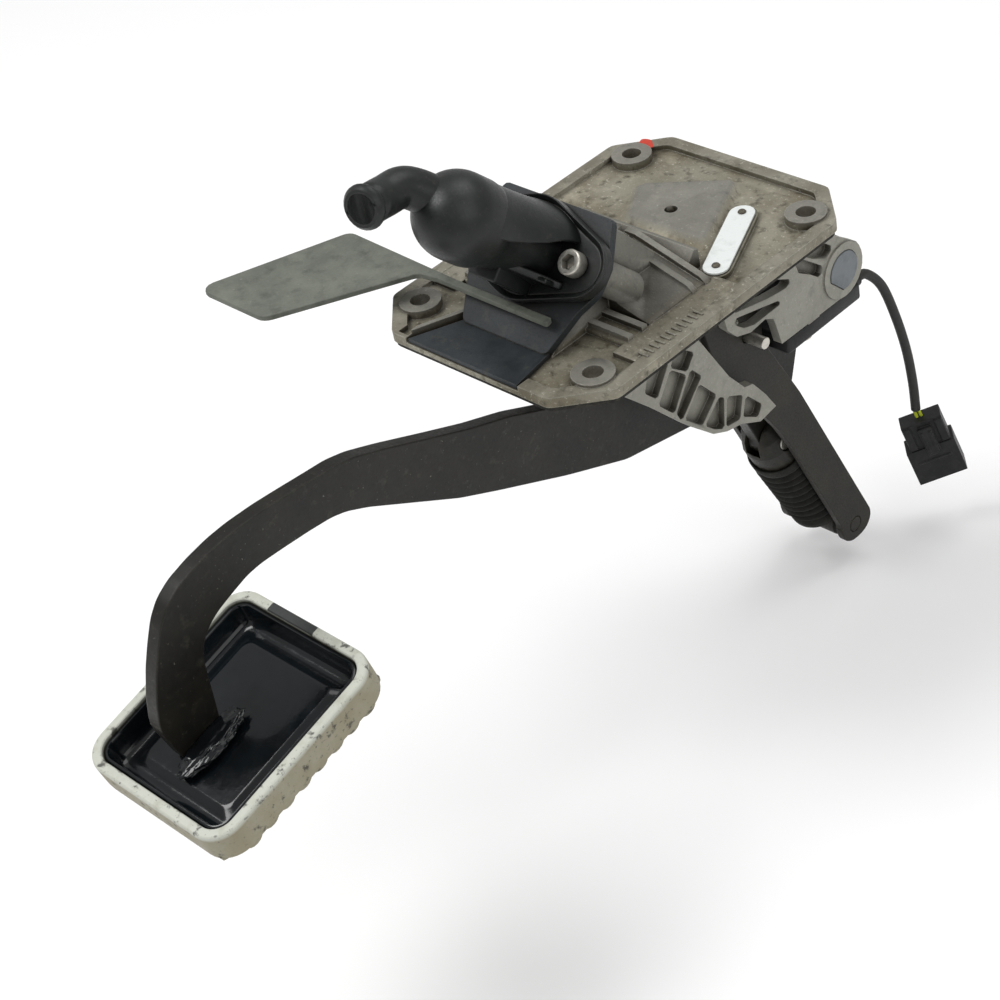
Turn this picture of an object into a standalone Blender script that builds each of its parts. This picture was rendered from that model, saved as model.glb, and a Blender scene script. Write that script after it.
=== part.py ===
# Hanging clutch pedal unit with its cast bracket, master cylinder and over-centre assist spring.
# Metres, +Z up. Origin: centre of the four-bolt pattern on the seating plane (gasket underside).
# +X runs across the unit, +Y towards the pedal pivot, +Z out of the cab through the firewall.
import bpy
import bmesh
from math import sin, cos, radians, atan2, pi, sqrt
from mathutils import Matrix, Vector

for old in list(bpy.data.objects):
    bpy.data.objects.remove(old, do_unlink=True)

MM = 0.001

# General clearances in millimetres
GAP = 0.3
WELD = 0.0001

# Height of the seating plane in the working frame: at the end the whole unit is set down by it
SEAT_Z = 5.0

# Flange and gasket
GASKET_T = 2.0
FLANGE_HALF_X = 64.8
FLANGE_HALF_Y = 90.3
FLANGE_CORNER = 20.0
FLANGE_FLOOR_T = 2.2
RIM_WIDTH = 6.5
RIM_HEIGHT = 2.5
BOLT_EDGE_X = 14.8
BOLT_EDGE_Y = 22.3
BOLT_HOLE_R = 4.5
BOSS_R = 9.3
BOSS_HEIGHT = 4.0
SEAL_SIDE = 24.8
SEAL_FRONT = 40.3
SEAL_BACK = 12.3
BAND_WIDTH = 18.8

# Raised block and bare name plate on the outer side
BLOCK_BASE = ((-38.0, 50.0), (8.0, 79.0), (33.0, 25.0), (-20.0, 20.0))
BLOCK_TOP = ((-28.0, 50.0), (6.0, 72.0), (24.0, 30.0), (-15.0, 29.0))
BLOCK_HEIGHT = 4.5
BLOCK_HOLE = (-2.0, 40.0)
BLOCK_HOLE_R = 3.0
BLOCK_HOLE_DEPTH = 4.5
PLATE_EDGE = (21.7, 16.5)
PLATE_RUN = (-17.3, 38.1)
PLATE_WIDTH = 11.5
PLATE_T = 1.0
PLATE_PAD_H = 2.2
RIVET_R = 1.9
RIVET_HEAD = 0.9

# Side walls of the bracket
WALL_OUTER = 32.0
WALL_T = 5.0
POCKET_DEPTH = 3.7
CELL_GROWTH = 1.12
PIVOT = (110.0, -46.5)
PIVOT_BOSS_R = 14.5
PIVOT_BORE_R = 10.0
PIVOT_BORE_FLAT = 8.0
PIVOT_BOSS_IN = 24.0
LUG_X0 = 10.0
LUG_T = 5.7

# Cylinder axis, 45 degrees to the seating plane
CYL_ANGLE = 45.0
CYL_FACE = (-46.0, 43.5)
CYL_BODY_R = 16.7
CYL_BORE_R = 11.3
CYL_INLET_R = 6.5
CYL_BODY_END = -86.0
CYL_BARREL_R = 22.0
CYL_BARREL_END = -64.0
BASE_PLATE_FRONT = -6.0
BASE_PLATE_T = 3.7
SEAL_T = 0.8
LENS_R = 22.6
LENS_TIP_R = 13.5
LENS_T = 4.6
ELBOW_SCREW_X = 28.0
SCREW_R = 3.7
SCREW_HEAD_R = 6.0
SCREW_HEAD_H = 8.2
SCREW_DEPTH = 26.0

# Elbow and hose spigot
DOME_R = 18.4
DOME_REACH = 48.0
NECK_R = 15.0
ELBOW_BORE_R = 10.0
SPIGOT_ROUTE = ((0.0, -83.0, 80.5), (-1.2, -91.5, 91.5), (-3.2, -99.6, 98.0), (-5.4, -108.5, 100.6), (-8.0, -119.0, 99.5))
SPIGOT_R = 8.2
SPIGOT_BEAD_R = 9.4
SPIGOT_BORE_R = 5.8

# Piston and push rod
PISTON_TOP = -40.0
PISTON_END = -62.0
PISTON_R = 11.0
BALL_S = -60.8
BALL_R = 4.0
SOCKET_R = 5.3
ROD_R = 4.0
ROD_NECK_R = 2.9
CLEVIS = (50.0, -52.5)
CLEVIS_HALF_X = 7.5
CLEVIS_HALF_H = 8.0
CLEVIS_SLOT = 3.9
CLEVIS_SLOT_D = 12.0
CLEVIS_LENGTH = 28.0
CLEVIS_PIN_R = 4.0
BOOT_LIP_R = 7.6

# Pedal arm, hub and assist lever
ARM_T = 7.0
ARM_HUB_R = 20.0
ARM_EYE_R = 10.0
HUB_R = 14.0
HUB_HALF = 23.5
HUB_BUSH_R = 9.5
SHAFT_R = 7.0
SHAFT_HALF = 30.0
SPRING_TOP = (82.0, -135.5)
SPRING_FOOT = (118.0, -207.5)
SPRING_PIN_R = 4.0
OPEN_JOINT = 2.6

# Spring legs and their fixings
LEG_X = 16.0
LEG_T = 4.0
LEG_BOLTS = ((55.0, -54.5), (43.0, -40.0))
LEG_BOLT_R = 2.9
LEG_BOLT_END = 31.0
SPRING_PIN_HEAD_R = 7.0

# Assist spring unit
CUP_R = 13.6
CUP_SKIRT = 17.0
GUIDE_ROD_R = 4.5
GUIDE_ROD_END = 27.0
FOOT_TUBE_R = 7.8
FOOT_TUBE_TOP = 44.0
FOOT_DISC_R = 13.6
FOOT_DISC_0 = 9.0
FOOT_DISC_1 = 13.0
FOOT_EYE_R = 8.5
FOOT_EYE_X = 12.0
COIL_R = 10.4
COIL_WIRE_R = 1.4
COIL_TURNS = 6
BELLOWS_R = 15.3
BELLOWS_VALLEY_R = 13.6
BELLOWS_WALL = 0.9
BELLOWS_FOLDS = 6

# Foot pad
PAD_CENTRE = (9.3, -248.3, -51.4)
PAD_TILT = 15.0
PAD_W = 85.0
PAD_L = 95.0
PAD_CORNER = 13.0
PAD_LIP = 4.6
PAD_DEPTH = 18.0
TREAD_DEPTH = 2.2
TREAD_COUNT = 10
TRAY_FLOOR = 11.8
TRAY_T = 2.2
TRAY_PLATEAU = 2.6
TRAY_PLATEAU_IN = 8.0

# Rubber flap
FLAP_T = 2.4
FLAP_Z = 23.3

# Sensor, cable and connector
SENSOR_X0 = 8.5
SENSOR_X1 = 30.0
SENSOR_Y0 = 70.5
SENSOR_Y1 = 124.0
SENSOR_TOP = -61.8
SENSOR_H = 9.0
SENSOR_SCREW_R = 2.2
CABLE_R = 2.4
CABLE_START = (22.0, 131.5, -66.3)
CABLE_ROUTE = ((22.0, 131.5, -66.3), (22.6, 138.0, -68.0), (24.6, 146.0, -78.5), (26.6, 152.0, -98.0),
               (27.6, 157.5, -121.0), (28.0, 160.5, -143.0), (28.0, 161.5, -160.0))
WIRE_R = 0.8
WIRE_LEN = 4.0
CONNECTOR_AXIS = (0.2, 0.2, -0.96)
CONNECTOR_W = 21.0
CONNECTOR_L = 37.0
CONNECTOR_T = 12.0

# Derived places and levels
BOLT_X = FLANGE_HALF_X - BOLT_EDGE_X
BOLT_Y = FLANGE_HALF_Y - BOLT_EDGE_Y
CAB_OPENING_X = FLANGE_HALF_X - SEAL_SIDE
CAB_OPENING_Y0 = SEAL_FRONT - FLANGE_HALF_Y
CAB_OPENING_Y1 = FLANGE_HALF_Y - SEAL_BACK
BAND_IN = FLANGE_HALF_X - BAND_WIDTH
PLATE_A = (FLANGE_HALF_X - PLATE_EDGE[0], PLATE_EDGE[1])
PLATE_B = (PLATE_A[0] + PLATE_RUN[0], PLATE_A[1] + PLATE_RUN[1])
FLANGE_Z = SEAT_Z + GASKET_T + GAP
FLOOR_Z = FLANGE_Z + FLANGE_FLOOR_T
RIM_Z = FLOOR_Z + RIM_HEIGHT
BOSS_Z = FLOOR_Z + BOSS_HEIGHT
WALL_INNER = WALL_OUTER - WALL_T
LEG_OUT = LEG_X + LEG_T

model = bpy.data.collections.new("clutch_pedal")
cutters = bpy.data.collections.new("cutters")
bpy.context.scene.collection.children.link(model)
bpy.context.scene.collection.children.link(cutters)


def material(name, rgb, rough, metal):
    mat = bpy.data.materials.new(name)
    mat.use_nodes = True
    shader = mat.node_tree.nodes["Principled BSDF"]
    shader.inputs["Base Color"].default_value = (rgb[0], rgb[1], rgb[2], 1.0)
    shader.inputs["Roughness"].default_value = rough
    shader.inputs["Metallic"].default_value = metal
    mat.diffuse_color = (rgb[0], rgb[1], rgb[2], 1.0)
    return mat


def add(name, mesh, mat=None, matrix=None, cutter=False):
    ob = bpy.data.objects.new(name, mesh)
    if matrix is not None:
        ob.matrix_world = matrix
    if cutter:
        cutters.objects.link(ob)
        ob.hide_render = True
        ob.display_type = "WIRE"
    else:
        model.objects.link(ob)
        if mat is not None:
            mesh.materials.clear()
            mesh.materials.append(mat)
    return ob


def smooth(ob, angle=35.0):
    ob.data.shade_smooth()
    ob.data.set_sharp_from_angle(angle=radians(angle))


def cut(ob, tool, mode="DIFFERENCE"):
    mod = ob.modifiers.new(mode.lower(), "BOOLEAN")
    mod.operation = mode
    mod.solver = "EXACT"
    mod.object = tool
    return mod


def axes(x, y, z, origin):
    m = Matrix.Identity(4)
    for i, v in enumerate((x, y, z)):
        for k in range(3):
            m[k][i] = v[k]
    for k in range(3):
        m[k][3] = origin[k] * MM
    return m


def frame_yz(x=0.0):
    return axes((0, 1, 0), (0, 0, 1), (1, 0, 0), (x, 0, 0))


def frame_xz(y=0.0):
    return axes((1, 0, 0), (0, 0, 1), (0, -1, 0), (0, y, 0))


def frame_z(z=0.0):
    return axes((1, 0, 0), (0, 1, 0), (0, 0, 1), (0, 0, z))


def frame_to(origin, direction, side=(1, 0, 0)):
    z = Vector(direction).normalized()
    x = Vector(side)
    x = (x - z * x.dot(z)).normalized()
    y = z.cross(x)
    return axes(x, y, z, origin)


def arc(cx, cy, r, a0, a1, n):
    pts = []
    for i in range(n + 1):
        a = radians(a0 + (a1 - a0) * i / n)
        pts.append((cx + r * cos(a), cy + r * sin(a)))
    return pts


def ring(cx, cy, r, n=24):
    return arc(cx, cy, r, 0.0, 360.0 - 360.0 / n, n - 1)


def rounded(points, r, n=4):
    # Fillets every corner of a closed outline with radius r, limited by its neighbours.
    out = []
    count = len(points)
    for i in range(count):
        p = Vector(points[i])
        a = Vector(points[i - 1]) - p
        b = Vector(points[(i + 1) % count]) - p
        rad = r[i] if isinstance(r, (list, tuple)) else r
        half = a.angle(b) / 2.0
        if rad <= 0.01 or half > radians(88):
            out.append((p.x, p.y))
            continue
        t = min(rad / max(sin(half) / cos(half), 1e-6), a.length * 0.45, b.length * 0.45)
        rad2 = t * sin(half) / cos(half)
        c = p + (a.normalized() + b.normalized()).normalized() * (rad2 / sin(half))
        p0 = p + a.normalized() * t
        p1 = p + b.normalized() * t
        a0 = atan2(p0.y - c.y, p0.x - c.x)
        a1 = atan2(p1.y - c.y, p1.x - c.x)
        while a1 - a0 > pi:
            a1 -= 2 * pi
        while a1 - a0 < -pi:
            a1 += 2 * pi
        for k in range(n + 1):
            t2 = a0 + (a1 - a0) * k / n
            out.append((c.x + rad2 * cos(t2), c.y + rad2 * sin(t2)))
    return out


def sheet(name, outline, z0, z1, matrix, mat=None, holes=(), cutter=False, bevel=0.0):
    # A flat outline between two heights of its own frame: 2D curve, filled, extruded, then meshed.
    curve = bpy.data.curves.new(name, "CURVE")
    curve.dimensions = "2D"
    curve.fill_mode = "BOTH"
    curve.extrude = (z1 - z0) / 2.0 * MM - bevel * MM
    if bevel > 0.0:
        curve.bevel_depth = bevel * MM
        curve.bevel_resolution = 0
        curve.offset = -bevel * MM
    for loop in (outline,) + tuple(holes):
        sp = curve.splines.new("POLY")
        sp.points.add(len(loop) - 1)
        for pt, co in zip(sp.points, loop):
            pt.co = (co[0] * MM, co[1] * MM, 0.0, 1.0)
        sp.use_cyclic_u = True
    temp = bpy.data.objects.new(name + "_curve", curve)
    model.objects.link(temp)
    bpy.context.view_layer.update()
    mesh = bpy.data.meshes.new_from_object(temp.evaluated_get(bpy.context.evaluated_depsgraph_get()))
    bpy.data.objects.remove(temp, do_unlink=True)
    bm = bmesh.new()
    bm.from_mesh(mesh)
    bmesh.ops.remove_doubles(bm, verts=bm.verts, dist=0.00001)
    bmesh.ops.recalc_face_normals(bm, faces=bm.faces)
    bm.to_mesh(mesh)
    bm.free()
    mesh.name = name
    shift = Matrix.Translation((0, 0, (z0 + z1) / 2.0 * MM))
    return add(name, mesh, mat, matrix @ shift, cutter)


def rod(name, p0, p1, r0, mat=None, r1=None, n=24, cutter=False):
    # A cylinder or cone between two points.
    a = Vector(p0)
    b = Vector(p1)
    mesh = bpy.data.meshes.new(name)
    bm = bmesh.new()
    bmesh.ops.create_cone(bm, cap_ends=True, segments=n, radius1=r0 * MM,
                          radius2=(r0 if r1 is None else r1) * MM, depth=(b - a).length * MM)
    bm.to_mesh(mesh)
    bm.free()
    side = (1, 0, 0) if abs((b - a).normalized().x) < 0.9 else (0, 1, 0)
    return add(name, mesh, mat, frame_to((a + b) / 2.0, b - a, side), cutter)


def hull(name, points, mat=None, cutter=False):
    # The smallest convex solid round the points.
    mesh = bpy.data.meshes.new(name)
    bm = bmesh.new()
    for co in points:
        bm.verts.new(Vector(co) * MM)
    bmesh.ops.convex_hull(bm, input=bm.verts)
    bmesh.ops.dissolve_limit(bm, angle_limit=0.01, verts=bm.verts, edges=bm.edges)
    bmesh.ops.recalc_face_normals(bm, faces=bm.faces)
    bm.to_mesh(mesh)
    bm.free()
    return add(name, mesh, mat, None, cutter)


def swept(name, points, radii, mat=None, n=20, cutter=False):
    # A round tube of changing radius along a path.
    mesh = bpy.data.meshes.new(name)
    bm = bmesh.new()
    rings = []
    for k, p in enumerate(points):
        ahead = Vector(points[min(k + 1, len(points) - 1)])
        behind = Vector(points[max(k - 1, 0)])
        around = frame_to(p, ahead - behind)
        rings.append([bm.verts.new(around @ Vector((radii[k] * cos(2 * pi * i / n) * MM, radii[k]
                      * sin(2 * pi * i / n) * MM, 0.0))) for i in range(n)])
    for a, b in zip(rings, rings[1:]):
        for i in range(n):
            bm.faces.new((a[i], a[(i + 1) % n], b[(i + 1) % n], b[i]))
    bm.faces.new(rings[0][::-1])
    bm.faces.new(rings[-1])
    bmesh.ops.recalc_face_normals(bm, faces=bm.faces)
    bm.to_mesh(mesh)
    bm.free()
    return add(name, mesh, mat, None, cutter)


def block(name, x0, x1, y0, y1, z0, z1, mat=None, matrix=None, cutter=False, top=None):
    # A box; top gives the four limits of a smaller top face for a tapered boss.
    mesh = bpy.data.meshes.new(name)
    bm = bmesh.new()
    bmesh.ops.create_cube(bm, size=1.0)
    for v in bm.verts:
        lim = (x0, x1, y0, y1) if v.co.z < 0 or top is None else top
        v.co = Vector(((lim[0] if v.co.x < 0 else lim[1]) * MM, (lim[2] if v.co.y < 0 else lim[3]) * MM,
                       (z0 if v.co.z < 0 else z1) * MM))
    bm.to_mesh(mesh)
    bm.free()
    return add(name, mesh, mat, matrix, cutter)


def turned(name, profile, matrix, mat=None, n=24, cutter=False, closed=False):
    # A turned piece: radius and height pairs down the outer side, revolved by a Screw modifier.
    mesh = bpy.data.meshes.new(name)
    verts = [(r * MM, 0.0, h * MM) for r, h in profile]
    edges = [(i, i + 1) for i in range(len(profile) - 1)]
    if closed:
        edges.append((len(profile) - 1, 0))
    mesh.from_pydata(verts, edges, [])
    ob = add(name, mesh, mat, matrix, cutter)
    mod = ob.modifiers.new("turn", "SCREW")
    mod.axis = "Z"
    mod.steps = n
    mod.render_steps = n
    mod.use_merge_vertices = True
    mod.merge_threshold = WELD * 0.1
    mod.use_smooth_shade = True
    return ob


def wire(name, points, r, mat, res=2, cyclic=False):
    curve = bpy.data.curves.new(name, "CURVE")
    curve.dimensions = "3D"
    curve.bevel_depth = r * MM
    curve.bevel_resolution = res
    curve.use_fill_caps = True
    sp = curve.splines.new("POLY")
    sp.points.add(len(points) - 1)
    for pt, co in zip(sp.points, points):
        pt.co = (co[0] * MM, co[1] * MM, co[2] * MM, 1.0)
    curve.materials.append(mat)
    ob = bpy.data.objects.new(name, curve)
    model.objects.link(ob)
    return ob


def smooth_route(points, step):
    # Catmull-Rom through the route points, resampled at an even step.
    p = [Vector(q) for q in points]
    p = [p[0] * 2 - p[1]] + p + [p[-1] * 2 - p[-2]]
    dense = []
    for i in range(1, len(p) - 2):
        for k in range(20):
            t = k / 20.0
            a, b, c, d = p[i - 1], p[i], p[i + 1], p[i + 2]
            dense.append(0.5 * ((2 * b) + (c - a) * t + (2 * a - 5 * b + 4 * c - d) * t * t
                                + (3 * b - a - 3 * c + d) * t * t * t))
    dense.append(p[-2])
    total = sum((dense[i + 1] - dense[i]).length for i in range(len(dense) - 1))
    count = max(int(total / step), 2)
    out = [dense[0]]
    want = total / count
    run = 0.0
    for i in range(len(dense) - 1):
        seg = (dense[i + 1] - dense[i]).length
        while run + seg >= want - 1e-9 and len(out) < count:
            t = (want - run) / seg
            out.append(dense[i].lerp(dense[i + 1], t))
            want += total / count
        run += seg
    out.append(dense[-1])
    return out


# Materials
cast = material("die_cast_aluminium", (0.27, 0.26, 0.23), 0.55, 0.7)
black_steel = material("black_painted_steel", (0.028, 0.027, 0.023), 0.45, 0.0)
gloss_black = material("black_enamel", (0.01, 0.012, 0.014), 0.12, 0.0)
black_plastic = material("black_plastic", (0.035, 0.038, 0.036), 0.5, 0.0)
slate_plastic = material("slate_plastic", (0.03, 0.034, 0.036), 0.55, 0.0)
rubber = material("black_rubber", (0.05, 0.05, 0.045), 0.8, 0.0)
flap_rubber = material("grey_rubber", (0.11, 0.115, 0.1), 0.85, 0.0)
pad_rubber = material("worn_pad_rubber", (0.6, 0.62, 0.52), 0.75, 0.0)
zinc = material("zinc_plated_steel", (0.6, 0.6, 0.56), 0.35, 0.9)
gasket_mat = material("gasket_board", (0.03, 0.03, 0.028), 0.9, 0.0)
label_mat = material("bare_label", (0.8, 0.84, 0.84), 0.4, 0.0)
bush_mat = material("grey_acetal", (0.2, 0.23, 0.25), 0.45, 0.0)
spring_mat = material("spring_steel", (0.05, 0.05, 0.05), 0.4, 0.8)
wire_mat = material("yellow_wire", (0.7, 0.75, 0.05), 0.5, 0.0)

# Frames of the inclined cylinder, the assist spring and the pad
ca = cos(radians(CYL_ANGLE))
sa = sin(radians(CYL_ANGLE))
M_AXIS = Vector((0, -sa, ca))
W_AXIS = Vector((0, ca, sa))
CYL_O = Vector((0, CYL_FACE[0], CYL_FACE[1]))
cyl_frame = axes((1, 0, 0), W_AXIS, M_AXIS, CYL_O)


def on_axis(s, w=0.0, x=0.0):
    return CYL_O + M_AXIS * s + W_AXIS * w + Vector((x, 0, 0))


strut_vec = Vector((0, SPRING_TOP[0] - SPRING_FOOT[0], SPRING_TOP[1] - SPRING_FOOT[1]))
STRUT_LEN = strut_vec.length
strut_frame = frame_to((0, SPRING_FOOT[0], SPRING_FOOT[1]), strut_vec)
pt_c = cos(radians(PAD_TILT))
pt_s = sin(radians(PAD_TILT))
pad_frame = axes((1, 0, 0), (0, pt_c, pt_s), (0, -pt_s, pt_c), PAD_CENTRE)


# Flange outline with chamfered corners
def flange_outline(inset):
    hx = FLANGE_HALF_X - inset
    hy = FLANGE_HALF_Y - inset
    c = FLANGE_CORNER - inset * 0.586
    pts = [(hx, -hy + c), (hx, hy - c), (hx - c, hy), (-hx + c, hy), (-hx, hy - c), (-hx, -hy + c),
           (-hx + c, -hy), (hx - c, -hy)]
    return rounded(pts, 5.0, 2)


bolt_places = [(sx * BOLT_X, sy * BOLT_Y) for sx in (-1, 1) for sy in (-1, 1)]

# Gasket under the flange, open where the bracket passes into the cab
opening = rounded([(CAB_OPENING_X, CAB_OPENING_Y0), (CAB_OPENING_X, CAB_OPENING_Y1),
                   (-CAB_OPENING_X, CAB_OPENING_Y1), (-CAB_OPENING_X, CAB_OPENING_Y0)], 8.0, 3)
gasket_holes = [ring(x, y, BOLT_HOLE_R + 0.4, 16) for x, y in bolt_places]
sheet("flange_gasket", flange_outline(1.0), SEAT_Z, SEAT_Z + GASKET_T, frame_z(), gasket_mat,
      holes=[opening] + gasket_holes)

# Bracket casting: flange floor and everything that is cast in one with it
casting = sheet("bracket_casting", flange_outline(0.0), FLANGE_Z, FLOOR_Z, frame_z(), cast)
rim = sheet("cast_rim", flange_outline(0.0), FLOOR_Z - 1.0, RIM_Z, frame_z(), cutter=True,
            holes=[flange_outline(RIM_WIDTH)])
cut(casting, rim, "UNION")
for i, (bx, by) in enumerate(bolt_places):
    boss = rod("cast_boss_%d" % i, (bx, by, FLANGE_Z + 1.0), (bx, by, BOSS_Z), BOSS_R, n=18, cutter=True)
    cut(casting, boss, "UNION")
hump = hull("cast_block", [(x, y, FLANGE_Z + 1.0) for x, y in BLOCK_BASE]
            + [(x, y, FLOOR_Z + BLOCK_HEIGHT) for x, y in BLOCK_TOP], cutter=True)
hump_round = hump.modifiers.new("edge", "BEVEL")
hump_round.width = 1.2 * MM
hump_round.segments = 1
cut(casting, hump, "UNION")
plate_dir = (Vector(PLATE_B) - Vector(PLATE_A)).normalized()


def slot_outline(a, b, r, n=8):
    d = Vector(b) - Vector(a)
    ang = atan2(d.y, d.x) * 180.0 / pi
    return arc(a[0], a[1], r, ang + 90, ang + 270, n) + arc(b[0], b[1], r, ang - 90, ang + 90, n)


plate_pad = sheet("cast_plate_pad", slot_outline(PLATE_A, PLATE_B, PLATE_WIDTH / 2 + 1.0), FLANGE_Z + 1.0,
                  FLOOR_Z + PLATE_PAD_H, frame_z(), cutter=True)
cut(casting, plate_pad, "UNION")

# Inclined cylinder seat with its gussets, cast on the outer side
seat_back = BASE_PLATE_FRONT - BASE_PLATE_T - GAP
top_pt = on_axis(seat_back, 20.0)
low_pt = on_axis(seat_back, -39.0)
SEAT_HALF_X = 24.6
SEAT_LUG_R = 7.4
wedge = sheet("cast_wedge", [(top_pt.y, top_pt.z), (low_pt.y, low_pt.z), (low_pt.y, FLANGE_Z + 1.0),
              (0.0, FLANGE_Z + 1.0), (0.0, FLOOR_Z + 14.0), (top_pt.y + 6.0, top_pt.z - 6.0)],
              -SEAT_HALF_X, SEAT_HALF_X, frame_yz(), cutter=True)
cut(casting, wedge, "UNION")
# Low hill behind the seat with a ridge beside the block, falling to the wide bands along both edges
HILL_Y0 = -30.0
HILL_END = 16.5
HILL_TOP = FLOOR_Z + 10.0
HILL_RIBS = (-2.0, 6.0)
LOW_RIBS = (-33.5, -42.0)
ridge = sheet("cast_ridge", [(HILL_END - 8.0, FLANGE_Z + 1.0), (HILL_END, FLANGE_Z + 1.0), (HILL_END, HILL_TOP - 1.0),
              (HILL_END - 2.5, HILL_TOP), (HILL_END - 7.0, HILL_TOP - 5.0)], -34.0, 34.0, frame_yz(), cutter=True)
cut(casting, ridge, "UNION")
for sx in (-1, 1):
    tag = "right" if sx > 0 else "left"
    seat_lug = rod("cast_seat_lug_" + tag, on_axis(seat_back - 0.1, 0.0, sx * ELBOW_SCREW_X),
                   on_axis(seat_back - 26.0, 0.0, sx * ELBOW_SCREW_X), SEAT_LUG_R, n=20, cutter=True)
    cut(casting, seat_lug, "UNION")
    band_x = (sx * BAND_IN, sx * (FLANGE_HALF_X - 3.0))
    band_slab = block("cast_band_" + tag, min(band_x), max(band_x), -52.0, 12.0, FLANGE_Z + 1.0, RIM_Z - 0.2,
                      cutter=True)
    cut(casting, band_slab, "UNION")
    hill = [(sx * 2.0, FLANGE_Z + 1.2), (sx * (BAND_IN + 0.5), FLANGE_Z + 1.2), (sx * (BAND_IN + 0.5), RIM_Z + 0.6),
            (sx * (BAND_IN - 2.0), RIM_Z + 1.0), (sx * 9.0, FLOOR_Z + 13.0), (sx * 2.0, FLOOR_Z + 13.0)]
    slope = sheet("cast_slope_" + tag, hill, 0.0, HILL_END - 7.2 - HILL_Y0, frame_xz(HILL_END - 7.2), cutter=True)
    cut(casting, slope, "UNION")
    for i, gy in enumerate(HILL_RIBS):
        pts = [(sx * 4.0, FLANGE_Z + 1.4), (sx * (BAND_IN + 1.5), FLANGE_Z + 1.4), (sx * (BAND_IN + 1.5), RIM_Z + 0.4),
               (sx * (BAND_IN - 1.5), RIM_Z + 3.0), (sx * 10.0, FLOOR_Z + 15.4), (sx * 4.0, FLOOR_Z + 15.4)]
        rib = sheet("cast_hill_rib_%s_%d" % (tag, i), pts, -1.5, 1.5, frame_xz(gy), cutter=True)
        cut(casting, rib, "UNION")
    low_slab = block("cast_low_" + tag, min(sx * 4.0, sx * (BAND_IN + 0.8)), max(sx * 4.0, sx * (BAND_IN + 0.8)),
                     LOW_RIBS[1] - 3.0, HILL_Y0 + 0.4, FLANGE_Z + 1.6, FLOOR_Z + 2.2, cutter=True)
    cut(casting, low_slab, "UNION")
    for i, gy in enumerate(LOW_RIBS):
        rib = block("cast_low_rib_%s_%d" % (tag, i), min(sx * 5.0, sx * (BAND_IN + 1.2)), max(sx * 5.0, sx
                    * (BAND_IN + 1.2)), gy - 1.5, gy + 1.5, FLANGE_Z + 1.8, FLOOR_Z + 4.6, cutter=True)
        cut(casting, rib, "UNION")
# The rim stops at the front edge, where the cylinder's apron lies, with a thin rib on its left
APRON_X0 = -35.4
APRON_X1 = 27.8
rim_gap = block("rim_gap", APRON_X0 - 1.0, APRON_X1 + 1.0, -FLANGE_HALF_Y - 5.0, -FLANGE_HALF_Y + RIM_WIDTH + 1.0,
                FLOOR_Z, RIM_Z + 5.0, cutter=True)
cut(casting, rim_gap)
apron_rib = sheet("cast_apron_rib", [(APRON_X0 - 1.0, -FLANGE_HALF_Y + 4.0), (APRON_X0 - 3.2, -FLANGE_HALF_Y + 4.0),
                  (-28.4, -63.0), (-26.2, -63.0)], FLANGE_Z + 1.0, RIM_Z + 1.5, frame_z(), cutter=True)
cut(casting, apron_rib, "UNION")
barrel = rod("cast_barrel", on_axis(CYL_BARREL_END), on_axis(seat_back - 0.5), CYL_BARREL_R, n=24, cutter=True)
cut(casting, barrel, "UNION")

# Side walls: pivot wall and front foot with a notch between them
pivot_wall = [(29.0, FLANGE_Z + 2.0), (28.5, -22.0), (30.5, -32.5), (36.0, -39.0), (45.0, -42.0), (55.0, -41.0),
              (60.5, -44.0), (62.5, -51.0), (64.5, -60.0)]
pivot_wall += arc(PIVOT[0], PIVOT[1], PIVOT_BOSS_R, -78.0, 40.0, 8)
pivot_wall += [(108.0, -27.5), (101.0, -21.5), (CAB_OPENING_Y1 - 6.0, FLANGE_Z + 2.0)]
window_a = rounded([(36.0, -14.0), (59.0, -22.5), (75.5, -31.5), (71.0, -33.6), (58.0, -31.8), (35.5, -26.3)], 1.6, 1)
window_b = rounded([(35.5, -29.2), (64.5, -36.8), (67.0, -39.4), (48.0, -39.6), (41.0, -37.4), (36.0, -33.0)], 1.5, 1)
foot_wall = [(-41.0, FLANGE_Z + 2.0), (-38.5, -18.0), (-36.4, -26.0), (-19.0, -44.0), (-0.8, -64.4), (13.5, -78.0),
             (22.5, -82.3), (32.0, -84.4), (44.7, -91.0), (56.0, -89.4), (50.0, -79.0), (42.5, -68.6), (37.0, -67.0),
             (27.8, -55.3), (18.3, -37.8), (10.4, -23.5), (9.0, FLANGE_Z + 2.0)]
FOOT_CELLS = (
    ((-2.1, -22.6), (7.4, -30.2), (2.2, -36.3), (-6.6, -29.0)),
    ((-7.6, -31.0), (0.8, -38.6), (-8.6, -51.5), (-16.4, -42.5)),
    ((-10.5, -20.5), (-9.0, -26.5), (-17.5, -38.0), (-23.5, -31.5), (-20.0, -22.0)),
    ((4.2, -38.2), (10.0, -45.0), (-4.2, -58.0), (-6.6, -53.0)),
    ((8.6, -48.6), (17.6, -59.6), (7.4, -68.4), (-1.8, -59.6)),
    ((19.6, -62.6), (22.6, -64.6), (20.6, -79.0), (15.0, -75.6), (9.8, -70.6)),
    ((25.2, -65.4), (34.4, -70.4), (31.4, -80.6), (22.8, -79.2)),
    ((37.2, -72.2), (46.2, -82.4), (43.0, -87.0), (34.4, -81.4)),
)
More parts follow.
